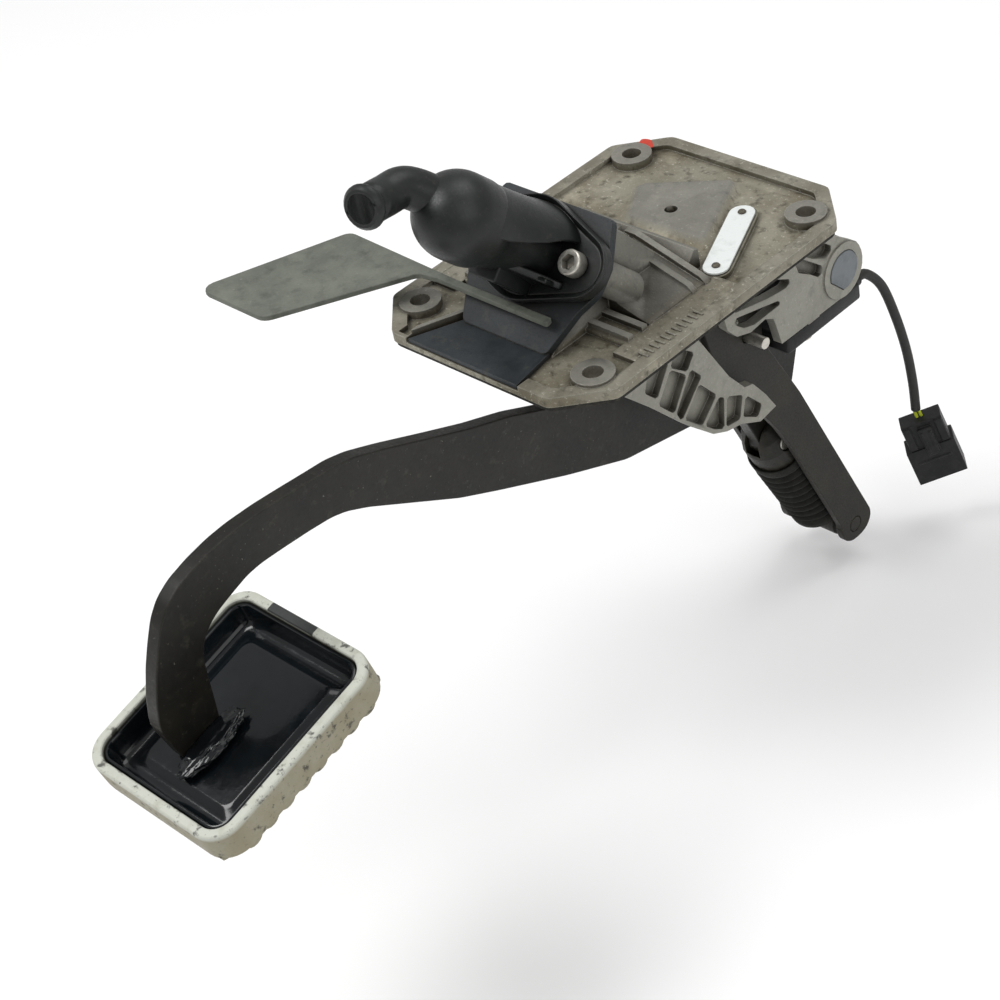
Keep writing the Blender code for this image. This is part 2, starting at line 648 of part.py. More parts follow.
for sx in (-1, 1):
    x0, x1 = (WALL_INNER, WALL_OUTER) if sx > 0 else (-WALL_OUTER, -WALL_INNER)
    tag = "right" if sx > 0 else "left"
    wall = sheet("cast_wall_" + tag, pivot_wall, x0, x1, frame_yz(), cutter=True, holes=[window_a, window_b])
    cut(casting, wall, "UNION")
    foot = sheet("cast_foot_" + tag, foot_wall, x0, x1, frame_yz(), cutter=True)
    cut(casting, foot, "UNION")
    boss = rod("cast_pivot_boss_" + tag, (sx * PIVOT_BOSS_IN, PIVOT[0], PIVOT[1]),
               (sx * (WALL_OUTER + 0.8), PIVOT[0], PIVOT[1]), PIVOT_BOSS_R - 0.6, n=24, cutter=True)
    cut(casting, boss, "UNION")
    lug = sheet("cast_lug_" + tag, [(30.0, FLANGE_Z + 1.0), (66.0, FLANGE_Z + 1.0), (66.0, -48.0), (60.0, -60.5),
                (50.0, -61.5), (35.0, -47.0), (30.0, -30.0)], sx * LUG_X0 if sx > 0 else -LUG_X0 - LUG_T,
                LUG_X0 + LUG_T if sx > 0 else -LUG_X0, frame_yz(), cutter=True)
    cut(casting, lug, "UNION")
    if sx > 0:
        screw_boss = block("cast_sensor_boss", 18.0, WALL_OUTER - 0.5, 84.0, 92.0, SENSOR_TOP + GAP, -40.0, cutter=True)
        cut(casting, screw_boss, "UNION")
    out0 = WALL_OUTER - POCKET_DEPTH
    deep = (out0, WALL_OUTER + 4.0) if sx > 0 else (-WALL_OUTER - 4.0, -out0)
    for i, cell in enumerate(FOOT_CELLS):
        mid_y = sum(q[0] for q in cell) / len(cell)
        mid_z = sum(q[1] for q in cell) / len(cell)
        grown = [(mid_y + (q[0] - mid_y) * CELL_GROWTH, mid_z + (q[1] - mid_z) * CELL_GROWTH) for q in cell]
        pocket = sheet("foot_pocket_%s_%d" % (tag, i), rounded(grown, 1.2, 1), deep[0], deep[1], frame_yz(),
                       cutter=True)
        cut(casting, pocket)
    pocket = sheet("wall_pocket_a_" + tag, rounded([(83.0, -12.0), (97.5, -24.5), (105.0, -31.0), (100.0, -34.6),
                   (90.5, -29.5), (80.0, -21.0)], 1.6, 1), deep[0], deep[1], frame_yz(), cutter=True)
    cut(casting, pocket)
    pocket = sheet("wall_pocket_b_" + tag, rounded([(77.5, -22.6), (84.5, -26.4), (97.0, -37.0), (94.5, -42.0),
                   (88.0, -36.4), (80.0, -31.0)], 1.6, 1), deep[0], deep[1], frame_yz(), cutter=True)
    cut(casting, pocket)


def d_outline(r, flat, n=16):
    # Round outline with one flat, seen from outside towards the lower front.
    centre = 225.0
    half = atan2(sqrt(r * r - flat * flat), flat) * 180.0 / pi
    return arc(PIVOT[0], PIVOT[1], r, centre + half, centre + 360.0 - half, n)


pivot_bore = sheet("pivot_bore", d_outline(PIVOT_BORE_R, PIVOT_BORE_FLAT), -WALL_OUTER - 6.0, WALL_OUTER + 6.0,
                   frame_yz(), cutter=True)
cut(casting, pivot_bore)
for i, (bx, by) in enumerate(bolt_places):
    hole = rod("bolt_hole_%d" % i, (bx, by, SEAT_Z - 5.0), (bx, by, BOSS_Z + 5.0), BOLT_HOLE_R, n=16, cutter=True)
    cut(casting, hole)
blind = rod("block_hole", BLOCK_HOLE + (FLOOR_Z + BLOCK_HEIGHT - BLOCK_HOLE_DEPTH,), BLOCK_HOLE
            + (FLOOR_Z + BLOCK_HEIGHT + 5.0,), BLOCK_HOLE_R, n=16, cutter=True)
cut(casting, blind)
for i, (hx, hy) in enumerate((PLATE_A, PLATE_B)):
    rh = rod("rivet_hole_%d" % i, (hx, hy, FLOOR_Z + PLATE_PAD_H - 3.0), (hx, hy, FLOOR_Z + PLATE_PAD_H + 3.0),
             1.3 + GAP, n=12, cutter=True)
    cut(casting, rh)
for sx in (-1, 1):
    sh = rod("seat_screw_hole_%d" % (sx + 1), on_axis(-SCREW_DEPTH - 1.0, 0, sx * ELBOW_SCREW_X),
             on_axis(5.0, 0, sx * ELBOW_SCREW_X), SCREW_R + GAP, n=12, cutter=True)
    cut(casting, sh)
    for k, (ly, lz) in enumerate(LEG_BOLTS):
        lh = rod("lug_hole_%d_%d" % (sx + 1, k), (sx * (LUG_X0 - 3.0), ly, lz), (sx * (LUG_X0 + LUG_T + 0.6), ly, lz),
                 LEG_BOLT_R + GAP, n=10, cutter=True)
        cut(casting, lh)
SENSOR_SCREWS = ((24.0, 88.0),)
for i, (sxx, syy) in enumerate(SENSOR_SCREWS):
    sh = rod("sensor_screw_hole_%d" % i, (sxx, syy, SENSOR_TOP - 2.0), (sxx, syy, SENSOR_TOP + 11.0),
             SENSOR_SCREW_R + GAP, n=12, cutter=True)
    cut(casting, sh)
# Corner pocket cast beside the lower left bolt boss
corner_pocket = block("corner_pocket", -FLANGE_HALF_X + 22.0, -FLANGE_HALF_X + 28.0, -FLANGE_HALF_Y + 2.0,
                      -FLANGE_HALF_Y + 9.0, FLOOR_Z, RIM_Z + 5.0, cutter=True)
cut(casting, corner_pocket)
cyl_bore = rod("cylinder_seat_bore", on_axis(CYL_BODY_END - 30.0), on_axis(15.0), CYL_BODY_R + GAP, n=24, cutter=True)
cut(casting, cyl_bore)
smooth(casting)

# Bare name plate and its two rivets
sheet("name_plate", slot_outline(PLATE_A, PLATE_B, PLATE_WIDTH / 2), FLOOR_Z + PLATE_PAD_H + GAP,
      FLOOR_Z + PLATE_PAD_H + GAP + PLATE_T, frame_z(), label_mat,
      holes=[ring(PLATE_A[0], PLATE_A[1], 1.3 + GAP, 12), ring(PLATE_B[0], PLATE_B[1], 1.3 + GAP, 12)])
plate_top = FLOOR_Z + PLATE_PAD_H + GAP + PLATE_T + GAP
for i, (rx, ry) in enumerate((PLATE_A, PLATE_B)):
    turned("plate_rivet_%d" % (i + 1), [(0, RIVET_HEAD), (RIVET_R * 0.6, RIVET_HEAD * 0.8), (RIVET_R, 0.0),
           (1.3, 0.0), (1.3, -PLATE_T - 2.4), (0, -PLATE_T - 2.4)], axes((1, 0, 0), (0, 1, 0), (0, 0, 1),
           (rx, ry, plate_top)), zinc, n=12)

# Master cylinder: plastic body with its six-sided base plate
hex_half = [(30.0, 22.5), (37.0, 4.0), (37.0, -8.0), (31.0, -18.0), (24.0, -38.0)]
hex_outline = rounded([(-x, y) for x, y in hex_half] + hex_half[::-1], 3.0, 2)
screw_rings = [ring(sx * ELBOW_SCREW_X, 0.0, SCREW_R + GAP, 16) for sx in (-1, 1)]
cylinder = sheet("master_cylinder", hex_outline, BASE_PLATE_FRONT - BASE_PLATE_T, BASE_PLATE_FRONT, cyl_frame,
                 slate_plastic, holes=screw_rings)
body = rod("cylinder_body", on_axis(CYL_BODY_END), on_axis(BASE_PLATE_FRONT - 1.0), CYL_BODY_R, n=24, cutter=True)
cut(cylinder, body, "UNION")
APRON_T = 2.0
apron = sheet("cylinder_apron", [(APRON_X0, -FLANGE_HALF_Y + 0.6), (APRON_X1, -FLANGE_HALF_Y + 0.6), (24.0, low_pt.y
              + 0.3), (-24.0, low_pt.y + 0.3)], FLOOR_Z + GAP, FLOOR_Z + GAP + APRON_T, frame_z(), cutter=True)
cut(cylinder, apron, "UNION")
bore = rod("cylinder_bore", on_axis(CYL_BODY_END - 5.0), on_axis(PISTON_TOP + 2.0), CYL_BORE_R, n=20, cutter=True)
cut(cylinder, bore)
inlet = rod("cylinder_inlet", on_axis(PISTON_TOP - 3.0), on_axis(5.0), CYL_INLET_R, n=16, cutter=True)
cut(cylinder, inlet)
smooth(cylinder)

# Rubber boot on the open end of the cylinder
boot_r = CYL_BODY_R + GAP
turned("cylinder_boot", [(boot_r + 1.6, 8.0), (boot_r + 1.6, -2.0), (boot_r - 1.0, -4.0), (boot_r + 0.5, -6.0),
       (BOOT_LIP_R + 4.0, -9.0), (BOOT_LIP_R + 3.0, -12.0), (BOOT_LIP_R, -12.0), (BOOT_LIP_R, -10.5),
       (BOOT_LIP_R + 2.4, -8.0), (boot_r - 2.0, -4.0), (boot_r - 2.0, -GAP), (boot_r, -GAP), (boot_r, 8.0)],
       frame_to(on_axis(CYL_BODY_END), M_AXIS), rubber, n=16, closed=True)

# Gasket, elbow and the two socket head screws that clamp them
def lens_outline(grow=0.0, n=10):
    big = LENS_R + grow
    tip = LENS_TIP_R + grow
    spread = 90.0 - atan2(sqrt(ELBOW_SCREW_X ** 2 - (big - tip) ** 2), big - tip) * 180.0 / pi
    pts = arc(ELBOW_SCREW_X, 0, tip, -90.0 + spread, 90.0 - spread, n)
    pts += arc(0, 0, big, 90.0 - spread, 90.0 + spread, 4)
    pts += arc(-ELBOW_SCREW_X, 0, tip, 90.0 + spread, 270.0 - spread, n)
    pts += arc(0, 0, big, 270.0 - spread, 270.0 + spread, 4)
    return pts


seal_0 = BASE_PLATE_FRONT + GAP
sheet("elbow_seal", lens_outline(-2.0, 6), seal_0, seal_0 + SEAL_T, cyl_frame, rubber,
      holes=[ring(0, 0, ELBOW_BORE_R + 1.0, 20)] + screw_rings)
lens_0 = seal_0 + SEAL_T + GAP
elbow = sheet("elbow", lens_outline(0.0, 7), lens_0, 0.0, cyl_frame, black_plastic)
lens_rim = sheet("elbow_rim", lens_outline(0.0, 7), -1.0, 2.2, cyl_frame, cutter=True, holes=[lens_outline(-3.2, 7)])
cut(elbow, lens_rim, "UNION")
dome_pts = [(DOME_R * sin(radians(a)), DOME_REACH + DOME_R * cos(radians(a))) for a in (0, 22, 44, 66, 90)]
tower = turned("elbow_tower", dome_pts + [(DOME_R, DOME_REACH - 11.0), (NECK_R + 1.0, DOME_REACH - 19.0), (NECK_R, 20.0),
               (NECK_R + 1.5, lens_0 + 1.0), (0, lens_0 + 1.0)], cyl_frame, n=28, cutter=True)
cut(elbow, tower, "UNION")
web_frame = axes((1, 0, 0), M_AXIS, -W_AXIS, CYL_O)
web = sheet("elbow_web", [(-24.0, -3.0), (24.0, -3.0), (24.0, 1.0), (4.0, 30.0), (-4.0, 30.0), (-24.0, 1.0)],
            8.2, 11.8, web_frame, cutter=True)
cut(elbow, web, "UNION")
hood = sheet("elbow_hood", [(-27.0, -3.0), (27.0, -3.0), (27.0, 3.0), (13.0, DOME_REACH - 8.0), (-13.0, DOME_REACH
             - 8.0), (-27.0, 3.0)], -12.4, -9.0, web_frame, cutter=True)
cut(elbow, hood, "UNION")
lump = block("elbow_lump", -7.0, 9.0, -19.0, -8.0, lens_0 + 1.0, 23.0, None, cyl_frame, True,
             top=(-5.5, 7.5, -17.0, -8.0))
cut(elbow, lump, "UNION")
neck = smooth_route(SPIGOT_ROUTE, 4.0)
neck_r = [SPIGOT_R + 0.8 * (1 - k / (len(neck) - 1)) for k in range(len(neck))]
neck_r[-3:] = [SPIGOT_BEAD_R, SPIGOT_BEAD_R, SPIGOT_BEAD_R - 1.4]
spigot = swept("elbow_spigot", neck, neck_r, cutter=True)
cut(elbow, spigot, "UNION")
tower_bore = turned("tower_bore", [(0, DOME_REACH + ELBOW_BORE_R), (ELBOW_BORE_R * 0.75, DOME_REACH + ELBOW_BORE_R
                    * 0.66), (ELBOW_BORE_R, DOME_REACH), (ELBOW_BORE_R, lens_0 - 4.0), (0, lens_0 - 4.0)],
                    cyl_frame, n=16, cutter=True)
cut(elbow, tower_bore)
mouth = neck[-1] + (neck[-1] - neck[-2]).normalized() * 4.0
spigot_bore = swept("spigot_bore", neck + [mouth], [SPIGOT_BORE_R] * (len(neck) + 1), n=16, cutter=True)
cut(elbow, spigot_bore)
for sx in (-1, 1):
    sh = rod("elbow_screw_hole_%d" % (sx + 1), on_axis(-10.0, 0, sx * ELBOW_SCREW_X),
             on_axis(12.0, 0, sx * ELBOW_SCREW_X), SCREW_R + GAP, n=16, cutter=True)
    cut(elbow, sh)
smooth(elbow)
for sx in (-1, 1):
    name = "elbow_screw_right" if sx > 0 else "elbow_screw_left"
    screw = turned(name, [(0, SCREW_HEAD_H + GAP), (SCREW_HEAD_R - 0.8, SCREW_HEAD_H + GAP), (SCREW_HEAD_R,
                   SCREW_HEAD_H - 0.8 + GAP), (SCREW_HEAD_R, GAP), (SCREW_R, GAP), (SCREW_R, -SCREW_DEPTH),
                   (0, -SCREW_DEPTH)], frame_to(on_axis(0, 0, sx * ELBOW_SCREW_X), M_AXIS), zinc, n=20)
    key = sheet("socket_%s" % name, ring(0, 0, 3.3, 6), SCREW_HEAD_H - 4.2, SCREW_HEAD_H + 3.0,
                frame_to(on_axis(0, 0, sx * ELBOW_SCREW_X), M_AXIS), cutter=True)
    cut(screw, key)

# Rubber flap: long narrow band beside the seat that widens into a slanting blade
FLAP_BLADE = ((-47.4, -57.4), (-84.3, -124.8), (-128.2, -124.6), (-101.2, -58.0))
flap_y = FLAP_Z + CYL_FACE[0] - CYL_FACE[1] - BASE_PLATE_FRONT * (sa + ca) / (2 * sa * ca) * sa - GAP * 2
band = [(24.0, flap_y - 4.0), (23.0, flap_y), (-31.0, flap_y)]
outline = band + [FLAP_BLADE[3], FLAP_BLADE[2], FLAP_BLADE[1], (-50.0, -66.0), (-40.0, -64.5)]
sheet("rubber_flap", rounded(outline, [1.0, 1.0, 1.0, 5.0, 5.0, 7.0, 6.0, 3.0], 4), FLAP_Z, FLAP_Z + FLAP_T,
      frame_z(), flap_rubber)

# Piston with a socket for the rod's ball
piston = turned("piston", [(0, PISTON_TOP), (PISTON_R - 1.5, PISTON_TOP), (PISTON_R, PISTON_TOP - 1.5), (PISTON_R,
                PISTON_TOP - 5.0), (PISTON_R - 1.6, PISTON_TOP - 5.6), (PISTON_R - 1.6, PISTON_TOP - 9.0), (PISTON_R,
                PISTON_TOP - 9.6), (PISTON_R, PISTON_END), (SOCKET_R + 1.5, PISTON_END), (SOCKET_R, PISTON_END + 1.5),
                (SOCKET_R, BALL_S + SOCKET_R * 0.6), (0, BALL_S + SOCKET_R)], cyl_frame, black_plastic, n=24)

# Push rod with its ball end, and the clevis that is threaded on it
ball_pt = on_axis(BALL_S)
clevis_pt = Vector((0, CLEVIS[0], CLEVIS[1]))
rod_vec = ball_pt - clevis_pt
ROD_LEN = rod_vec.length
rod_frame = frame_to(clevis_pt, rod_vec)
ROD_START = 16.0
push = turned("push_rod", [(0, ROD_LEN + BALL_R), (BALL_R * 0.7, ROD_LEN + BALL_R * 0.7), (BALL_R, ROD_LEN),
              (ROD_NECK_R, ROD_LEN - BALL_R * 0.75), (ROD_NECK_R, ROD_LEN - 16.0), (ROD_R, ROD_LEN - 18.0),
              (ROD_R, ROD_START), (0, ROD_START)], rod_frame, zinc, n=20)
clevis = block("rod_clevis", -CLEVIS_HALF_X, CLEVIS_HALF_X, -CLEVIS_HALF_H, CLEVIS_HALF_H, -9.0, CLEVIS_LENGTH,
               black_steel, rod_frame)
clevis_edge = clevis.modifiers.new("edge", "BEVEL")
clevis_edge.width = 1.6 * MM
clevis_edge.segments = 2
slot = block("clevis_slot", -CLEVIS_SLOT, CLEVIS_SLOT, -30.0, 30.0, -30.0, CLEVIS_SLOT_D, None, rod_frame, True)
cut(clevis, slot)
pin_hole = rod("clevis_pin_hole", (-20.0, CLEVIS[0], CLEVIS[1]), (20.0, CLEVIS[0], CLEVIS[1]), CLEVIS_PIN_R + GAP,
               n=20, cutter=True)
cut(clevis, pin_hole)
rod_hole = rod("clevis_rod_hole", clevis_pt + rod_vec.normalized() * (ROD_START - GAP),
               clevis_pt + rod_vec.normalized() * 60.0, ROD_R + GAP, n=20, cutter=True)
cut(clevis, rod_hole)
PIN_END = CLEVIS_HALF_X + 1.5
turned("clevis_pin", [(0, PIN_END), (CLEVIS_PIN_R - 0.5, PIN_END), (CLEVIS_PIN_R, PIN_END - 0.4), (CLEVIS_PIN_R,
       -CLEVIS_HALF_X - GAP), (CLEVIS_PIN_R + 1.6, -CLEVIS_HALF_X - GAP), (CLEVIS_PIN_R + 1.6, -PIN_END),
       (0, -PIN_END)], frame_to((0, CLEVIS[0], CLEVIS[1]), (1, 0, 0), (0, 1, 0)), zinc, n=20)
clip = ring(0, 0, CLEVIS_PIN_R + 2.2, 20)
sheet("clevis_clip", clip, CLEVIS_HALF_X + GAP, CLEVIS_HALF_X + 1.1,
      frame_to((0, CLEVIS[0], CLEVIS[1]), (1, 0, 0), (0, 1, 0)), spring_mat,
      holes=[ring(0, 0, CLEVIS_PIN_R + 0.2, 16)])

# Pedal arm: one flat plate from the pad to the hub, with the rod eye and the spring lever
foot_n = -(TRAY_FLOOR - TRAY_PLATEAU) + GAP


def on_pad(along, n, x=0.0):
    return Vector(PAD_CENTRE) + Vector((x, -pt_c * along - pt_s * n, -pt_s * along + pt_c * n))


heel = on_pad(3.5, foot_n)
toe = on_pad(23.5, foot_n)
ARM_TOP = ((-275.0, -47.0), (-275.2, -42.0), (-273.2, -31.5), (-269.4, -19.5), (-265.4, -10.0), (-261.0, -1.0),
           (-256.0, 5.2), (-249.0, 9.6), (-239.0, 12.8), (-228.0, 15.0), (-218.0, 15.8), (-205.0, 15.6),
           (-192.0, 14.6), (-179.0, 13.4), (-167.0, 12.4), (-157.0, 10.0), (-142.0, 4.2), (-118.0, -6.0),
           (-97.0, -14.7), (-75.0, -22.6), (-41.0, -38.0), (-12.0, -49.5), (16.0, -58.5), (36.0, -61.0))
ARM_LOWER = ((28.0, -95.0), (-14.0, -86.0), (-50.0, -71.0), (-89.0, -53.0), (-110.8, -42.5), (-131.2, -30.6),
             (-156.8, -15.8), (-167.5, -10.7), (-175.0, -8.6), (-186.4, -7.4), (-201.4, -6.4), (-212.0, -6.0),
             (-219.2, -6.8), (-228.3, -9.8), (-235.8, -12.6), (-241.6, -16.2), (-246.0, -21.6), (-248.0, -28.0),
             (-248.4, -35.0), (-248.8, -47.8))
arm_pts = [(toe.y, toe.z)] + list(ARM_TOP)
arm_pts += arc(CLEVIS[0], CLEVIS[1], ARM_EYE_R, 170.0, 20.0, 8)
arm_pts += [(72.0, -52.0), (86.0, -46.0)]
arm_pts += arc(PIVOT[0], PIVOT[1], ARM_HUB_R, 160.0, -60.0, 16)
arm_pts += [(112.0, -80.0), (101.0, -112.0)]
arm_pts += arc(SPRING_TOP[0], SPRING_TOP[1], ARM_EYE_R - 0.5, 5.0, -190.0, 12)
arm_pts += [(66.0, -118.0), (50.0, -104.0)]
arm_pts += list(ARM_LOWER) + [(heel.y, heel.z)]
sheet("pedal_arm", arm_pts, -ARM_T / 2, ARM_T / 2, frame_yz(), black_steel,
      holes=[ring(CLEVIS[0], CLEVIS[1], CLEVIS_PIN_R + GAP, 14), ring(PIVOT[0], PIVOT[1], HUB_R + GAP, 24),
             ring(SPRING_TOP[0], SPRING_TOP[1], SPRING_PIN_R + OPEN_JOINT, 24)])

# Hub tube, its two bushes, the pivot shaft and the flatted end plugs
pivot_frame = frame_to((0, PIVOT[0], PIVOT[1]), (1, 0, 0), (0, 1, 0))
turned("pivot_tube", [(HUB_R, HUB_HALF), (HUB_R, -HUB_HALF), (HUB_BUSH_R + GAP, -HUB_HALF), (HUB_BUSH_R + GAP,
       HUB_HALF)], pivot_frame, black_steel, n=24, closed=True)
for sx in (-1, 1):
    a, b = (HUB_HALF, HUB_HALF - 13.0) if sx > 0 else (-HUB_HALF + 13.0, -HUB_HALF)
    turned("hub_bush_right" if sx > 0 else "hub_bush_left", [(HUB_BUSH_R, a), (HUB_BUSH_R, b), (SHAFT_R + GAP, b),
           (SHAFT_R + GAP, a)], pivot_frame, bush_mat, n=24, closed=True)
    plug = sheet("pivot_plug_right" if sx > 0 else "pivot_plug_left", d_outline(PIVOT_BORE_R - GAP,
                 PIVOT_BORE_FLAT - GAP), PIVOT_BOSS_IN if sx > 0 else -WALL_OUTER - 1.2,
                 WALL_OUTER + 1.2 if sx > 0 else -PIVOT_BOSS_IN, frame_yz(), bush_mat)
    seat = rod("plug_seat_%d" % (sx + 1), (sx * (PIVOT_BOSS_IN - 3.0), PIVOT[0], PIVOT[1]),
               (sx * (SHAFT_HALF + GAP), PIVOT[0], PIVOT[1]), SHAFT_R + GAP, n=24, cutter=True)
    cut(plug, seat)
rod("pivot_shaft", (-SHAFT_HALF, PIVOT[0], PIVOT[1]), (SHAFT_HALF, PIVOT[0], PIVOT[1]), SHAFT_R, zinc, n=24)

# Foot pad: pressed tray welded to the arm, moulded cover gripping it
cover_w = PAD_W / 2
cover_l = PAD_L / 2
PITCH = PAD_L / TREAD_COUNT
side = [(-cover_l, 0.0), (-cover_l, -PAD_DEPTH + TREAD_DEPTH)]
for k in range(TREAD_COUNT):
    y = -cover_l + PITCH * k
    side += [(y + PITCH * 0.5, -PAD_DEPTH), (y + PITCH, -PAD_DEPTH + TREAD_DEPTH)]
side += [(cover_l, 0.0)]
pad_side = pad_frame @ axes((0, 1, 0), (0, 0, 1), (1, 0, 0), (0, 0, 0))
cover = sheet("pad_cover", side, -cover_w, cover_w, pad_side, pad_rubber)


def pad_rect(inset):
    w = PAD_W / 2 - inset
    h = PAD_L / 2 - inset
    return rounded([(w, -h), (w, h), (-w, h), (-w, -h)], max(PAD_CORNER - inset, 3.0), 5)


cover_shape = sheet("cover_shape", pad_rect(0.0), -PAD_DEPTH - 5.0, 5.0, pad_frame, cutter=True)
cut(cover, cover_shape, "INTERSECT")
cover_well = sheet("cover_well", pad_rect(PAD_LIP), -TRAY_FLOOR - TRAY_T - GAP, 8.0, pad_frame, cutter=True)
cut(cover, cover_well)
smooth(cover, 25.0)
tray = sheet("pad_tray", pad_rect(PAD_LIP + GAP), -TRAY_FLOOR - TRAY_T, -1.2, pad_frame, gloss_black)
tray_well = sheet("tray_well", pad_rect(PAD_LIP + GAP + TRAY_T), -TRAY_FLOOR, 5.0, pad_frame, cutter=True)
cut(tray, tray_well)
in_w = PAD_W / 2 - PAD_LIP - TRAY_PLATEAU_IN
in_l = PAD_L / 2 - PAD_LIP - TRAY_PLATEAU_IN
plateau = block("tray_plateau", -in_w, in_w, -in_l, in_l, -TRAY_FLOOR - 1.0, -TRAY_FLOOR + TRAY_PLATEAU, None,
                pad_frame, True, top=(-in_w + 3.0, in_w - 3.0, -in_l + 3.0, in_l - 3.0))
cut(tray, plateau, "UNION")
smooth(tray, 25.0)

# Weld bead along the foot of the arm
BEAD_HALF = 4.6
BEAD_H = 2.6
BEAD_LEN = 18.0
bead_mesh = bpy.data.meshes.new("weld_bead")
bm = bmesh.new()
bmesh.ops.create_uvsphere(bm, u_segments=16, v_segments=8, radius=1.0)
for v in bm.verts:
    wob = 1.0 + 0.12 * sin(7.0 * v.co.y)
    v.co = Vector((BEAD_HALF * v.co.x * wob * MM, BEAD_LEN * v.co.y * MM, BEAD_H * v.co.z * wob * MM))
bm.to_mesh(bead_mesh)
bm.free()
bead_at = on_pad(13.0, foot_n + BEAD_H * 1.12, ARM_T / 2 + GAP + BEAD_HALF * 1.12 - PAD_CENTRE[0])
weld = add("weld_bead", bead_mesh, gloss_black, axes((1, 0, 0), (0, pt_c, pt_s), (0, -pt_s, pt_c), bead_at))
smooth(weld, 80.0)

# Two flat legs that carry the foot of the assist spring, and their studs
leg_pts = [(28.0, -38.0), (35.0, -31.0), (49.0, -30.0), (60.0, -38.0), (66.0, -50.0), (65.0, -63.0), (87.0, -106.0),
           (97.4, -130.0)]
leg_pts += [(SPRING_FOOT[0] + dy, SPRING_FOOT[1] + dz) for dy, dz in ((12.7, 1.0), (12.2, -3.6), (9.0, -7.6),
            (3.0, -9.4), (-4.0, -8.8), (-8.8, -5.2), (-10.5, 0.5), (-10.4, 5.0))]
leg_pts += [(78.0, -134.0), (69.0, -116.5), (43.0, -75.0), (31.0, -52.0)]
for sx in (-1, 1):
    tag = "right" if sx > 0 else "left"
    holes = [ring(y, z, LEG_BOLT_R + GAP, 12) for y, z in LEG_BOLTS]
    holes.append(ring(SPRING_FOOT[0], SPRING_FOOT[1], SPRING_PIN_R + GAP, 16))
    sheet("spring_leg_" + tag, leg_pts, LEG_X if sx > 0 else -LEG_OUT, LEG_OUT if sx > 0 else -LEG_X, frame_yz(),
          black_steel, holes=holes)
    for k, (ly, lz) in enumerate(LEG_BOLTS):
        end = LEG_BOLT_END if k == 0 else LEG_OUT + 4.5
        rod("leg_stud_%s_%d" % (tag, k + 1), (sx * (LUG_X0 + 0.2), ly, lz), (sx * end, ly, lz), LEG_BOLT_R, zinc,
            n=12)
turned("spring_pin_lower", [(0, LEG_OUT + 3.0), (SPRING_PIN_HEAD_R - 1.5, LEG_OUT + 3.0), (SPRING_PIN_HEAD_R,
       LEG_OUT + 1.8), (SPRING_PIN_HEAD_R, LEG_OUT + GAP), (SPRING_PIN_R, LEG_OUT + GAP), (SPRING_PIN_R,
       -LEG_OUT - GAP), (SPRING_PIN_HEAD_R, -LEG_OUT - GAP), (SPRING_PIN_HEAD_R, -LEG_OUT - 1.8),
       (SPRING_PIN_HEAD_R - 1.5, -LEG_OUT - 3.0), (0, -LEG_OUT - 3.0)],
       frame_to((0, SPRING_FOOT[0], SPRING_FOOT[1]), (1, 0, 0), (0, 1, 0)), black_steel, n=20)

# Assist spring unit: foot with guide tube, cup with guide rod, coil and bellows
foot = turned("spring_foot", [(FOOT_TUBE_R, FOOT_TUBE_TOP), (FOOT_TUBE_R, FOOT_DISC_1), (FOOT_DISC_R, FOOT_DISC_1),
              (FOOT_DISC_R, FOOT_DISC_0), (FOOT_EYE_R, FOOT_DISC_0 - 2.0), (FOOT_EYE_R, 0.0), (0.0, 0.0),
              (0.0, FOOT_DISC_1 - 2.0), (GUIDE_ROD_R + 0.5, FOOT_DISC_1 - 2.0), (GUIDE_ROD_R + 0.5, FOOT_TUBE_TOP)],
              strut_frame, black_plastic, n=20, closed=True)
foot_eye = rod("foot_eye", (-FOOT_EYE_X, SPRING_FOOT[0], SPRING_FOOT[1]), (FOOT_EYE_X, SPRING_FOOT[0],
               SPRING_FOOT[1]), FOOT_EYE_R, n=16, cutter=True)
cut(foot, foot_eye, "UNION")
foot_hole = rod("foot_hole", (-30.0, SPRING_FOOT[0], SPRING_FOOT[1]), (30.0, SPRING_FOOT[0], SPRING_FOOT[1]),
                SPRING_PIN_R + GAP, n=20, cutter=True)
cut(foot, foot_hole)
cup = turned("spring_cup", [(0, STRUT_LEN + CUP_R * 0.85), (CUP_R * 0.45, STRUT_LEN + CUP_R * 0.74), (CUP_R * 0.82,
             STRUT_LEN + CUP_R * 0.4), (CUP_R, STRUT_LEN - 2.0), (CUP_R, STRUT_LEN - CUP_SKIRT), (GUIDE_ROD_R,
             STRUT_LEN - CUP_SKIRT), (GUIDE_ROD_R, GUIDE_ROD_END), (0, GUIDE_ROD_END)], strut_frame, black_plastic,
             n=20)
cup_slot = sheet("cup_slot", arc(0, 0, ARM_EYE_R - 0.5 + OPEN_JOINT + GAP, 180.0, 330.0, 9) + [(ARM_EYE_R * 2.0, -6.5),
                 (ARM_EYE_R * 2.0, 30.0), (-ARM_EYE_R * 2.0, 30.0), (-ARM_EYE_R * 2.0, 0.0)],
                 -ARM_T / 2 - 0.8, ARM_T / 2 + 0.8,
                 axes((0, strut_frame[2][2], -strut_frame[1][2]), (0, strut_frame[1][2], strut_frame[2][2]),
                      (1, 0, 0), (0, SPRING_TOP[0], SPRING_TOP[1])), cutter=True)
cut(cup, cup_slot)
cup_hole = rod("cup_hole", (-30.0, SPRING_TOP[0], SPRING_TOP[1]), (30.0, SPRING_TOP[0], SPRING_TOP[1]),
               SPRING_PIN_R + GAP, n=20, cutter=True)
cut(cup, cup_hole)
rod("spring_pin_upper", (-CUP_R + 1.4, SPRING_TOP[0], SPRING_TOP[1]), (CUP_R - 1.4, SPRING_TOP[0], SPRING_TOP[1]),
    SPRING_PIN_R, zinc, n=20)
coil_lo = FOOT_DISC_1 + GAP + COIL_WIRE_R
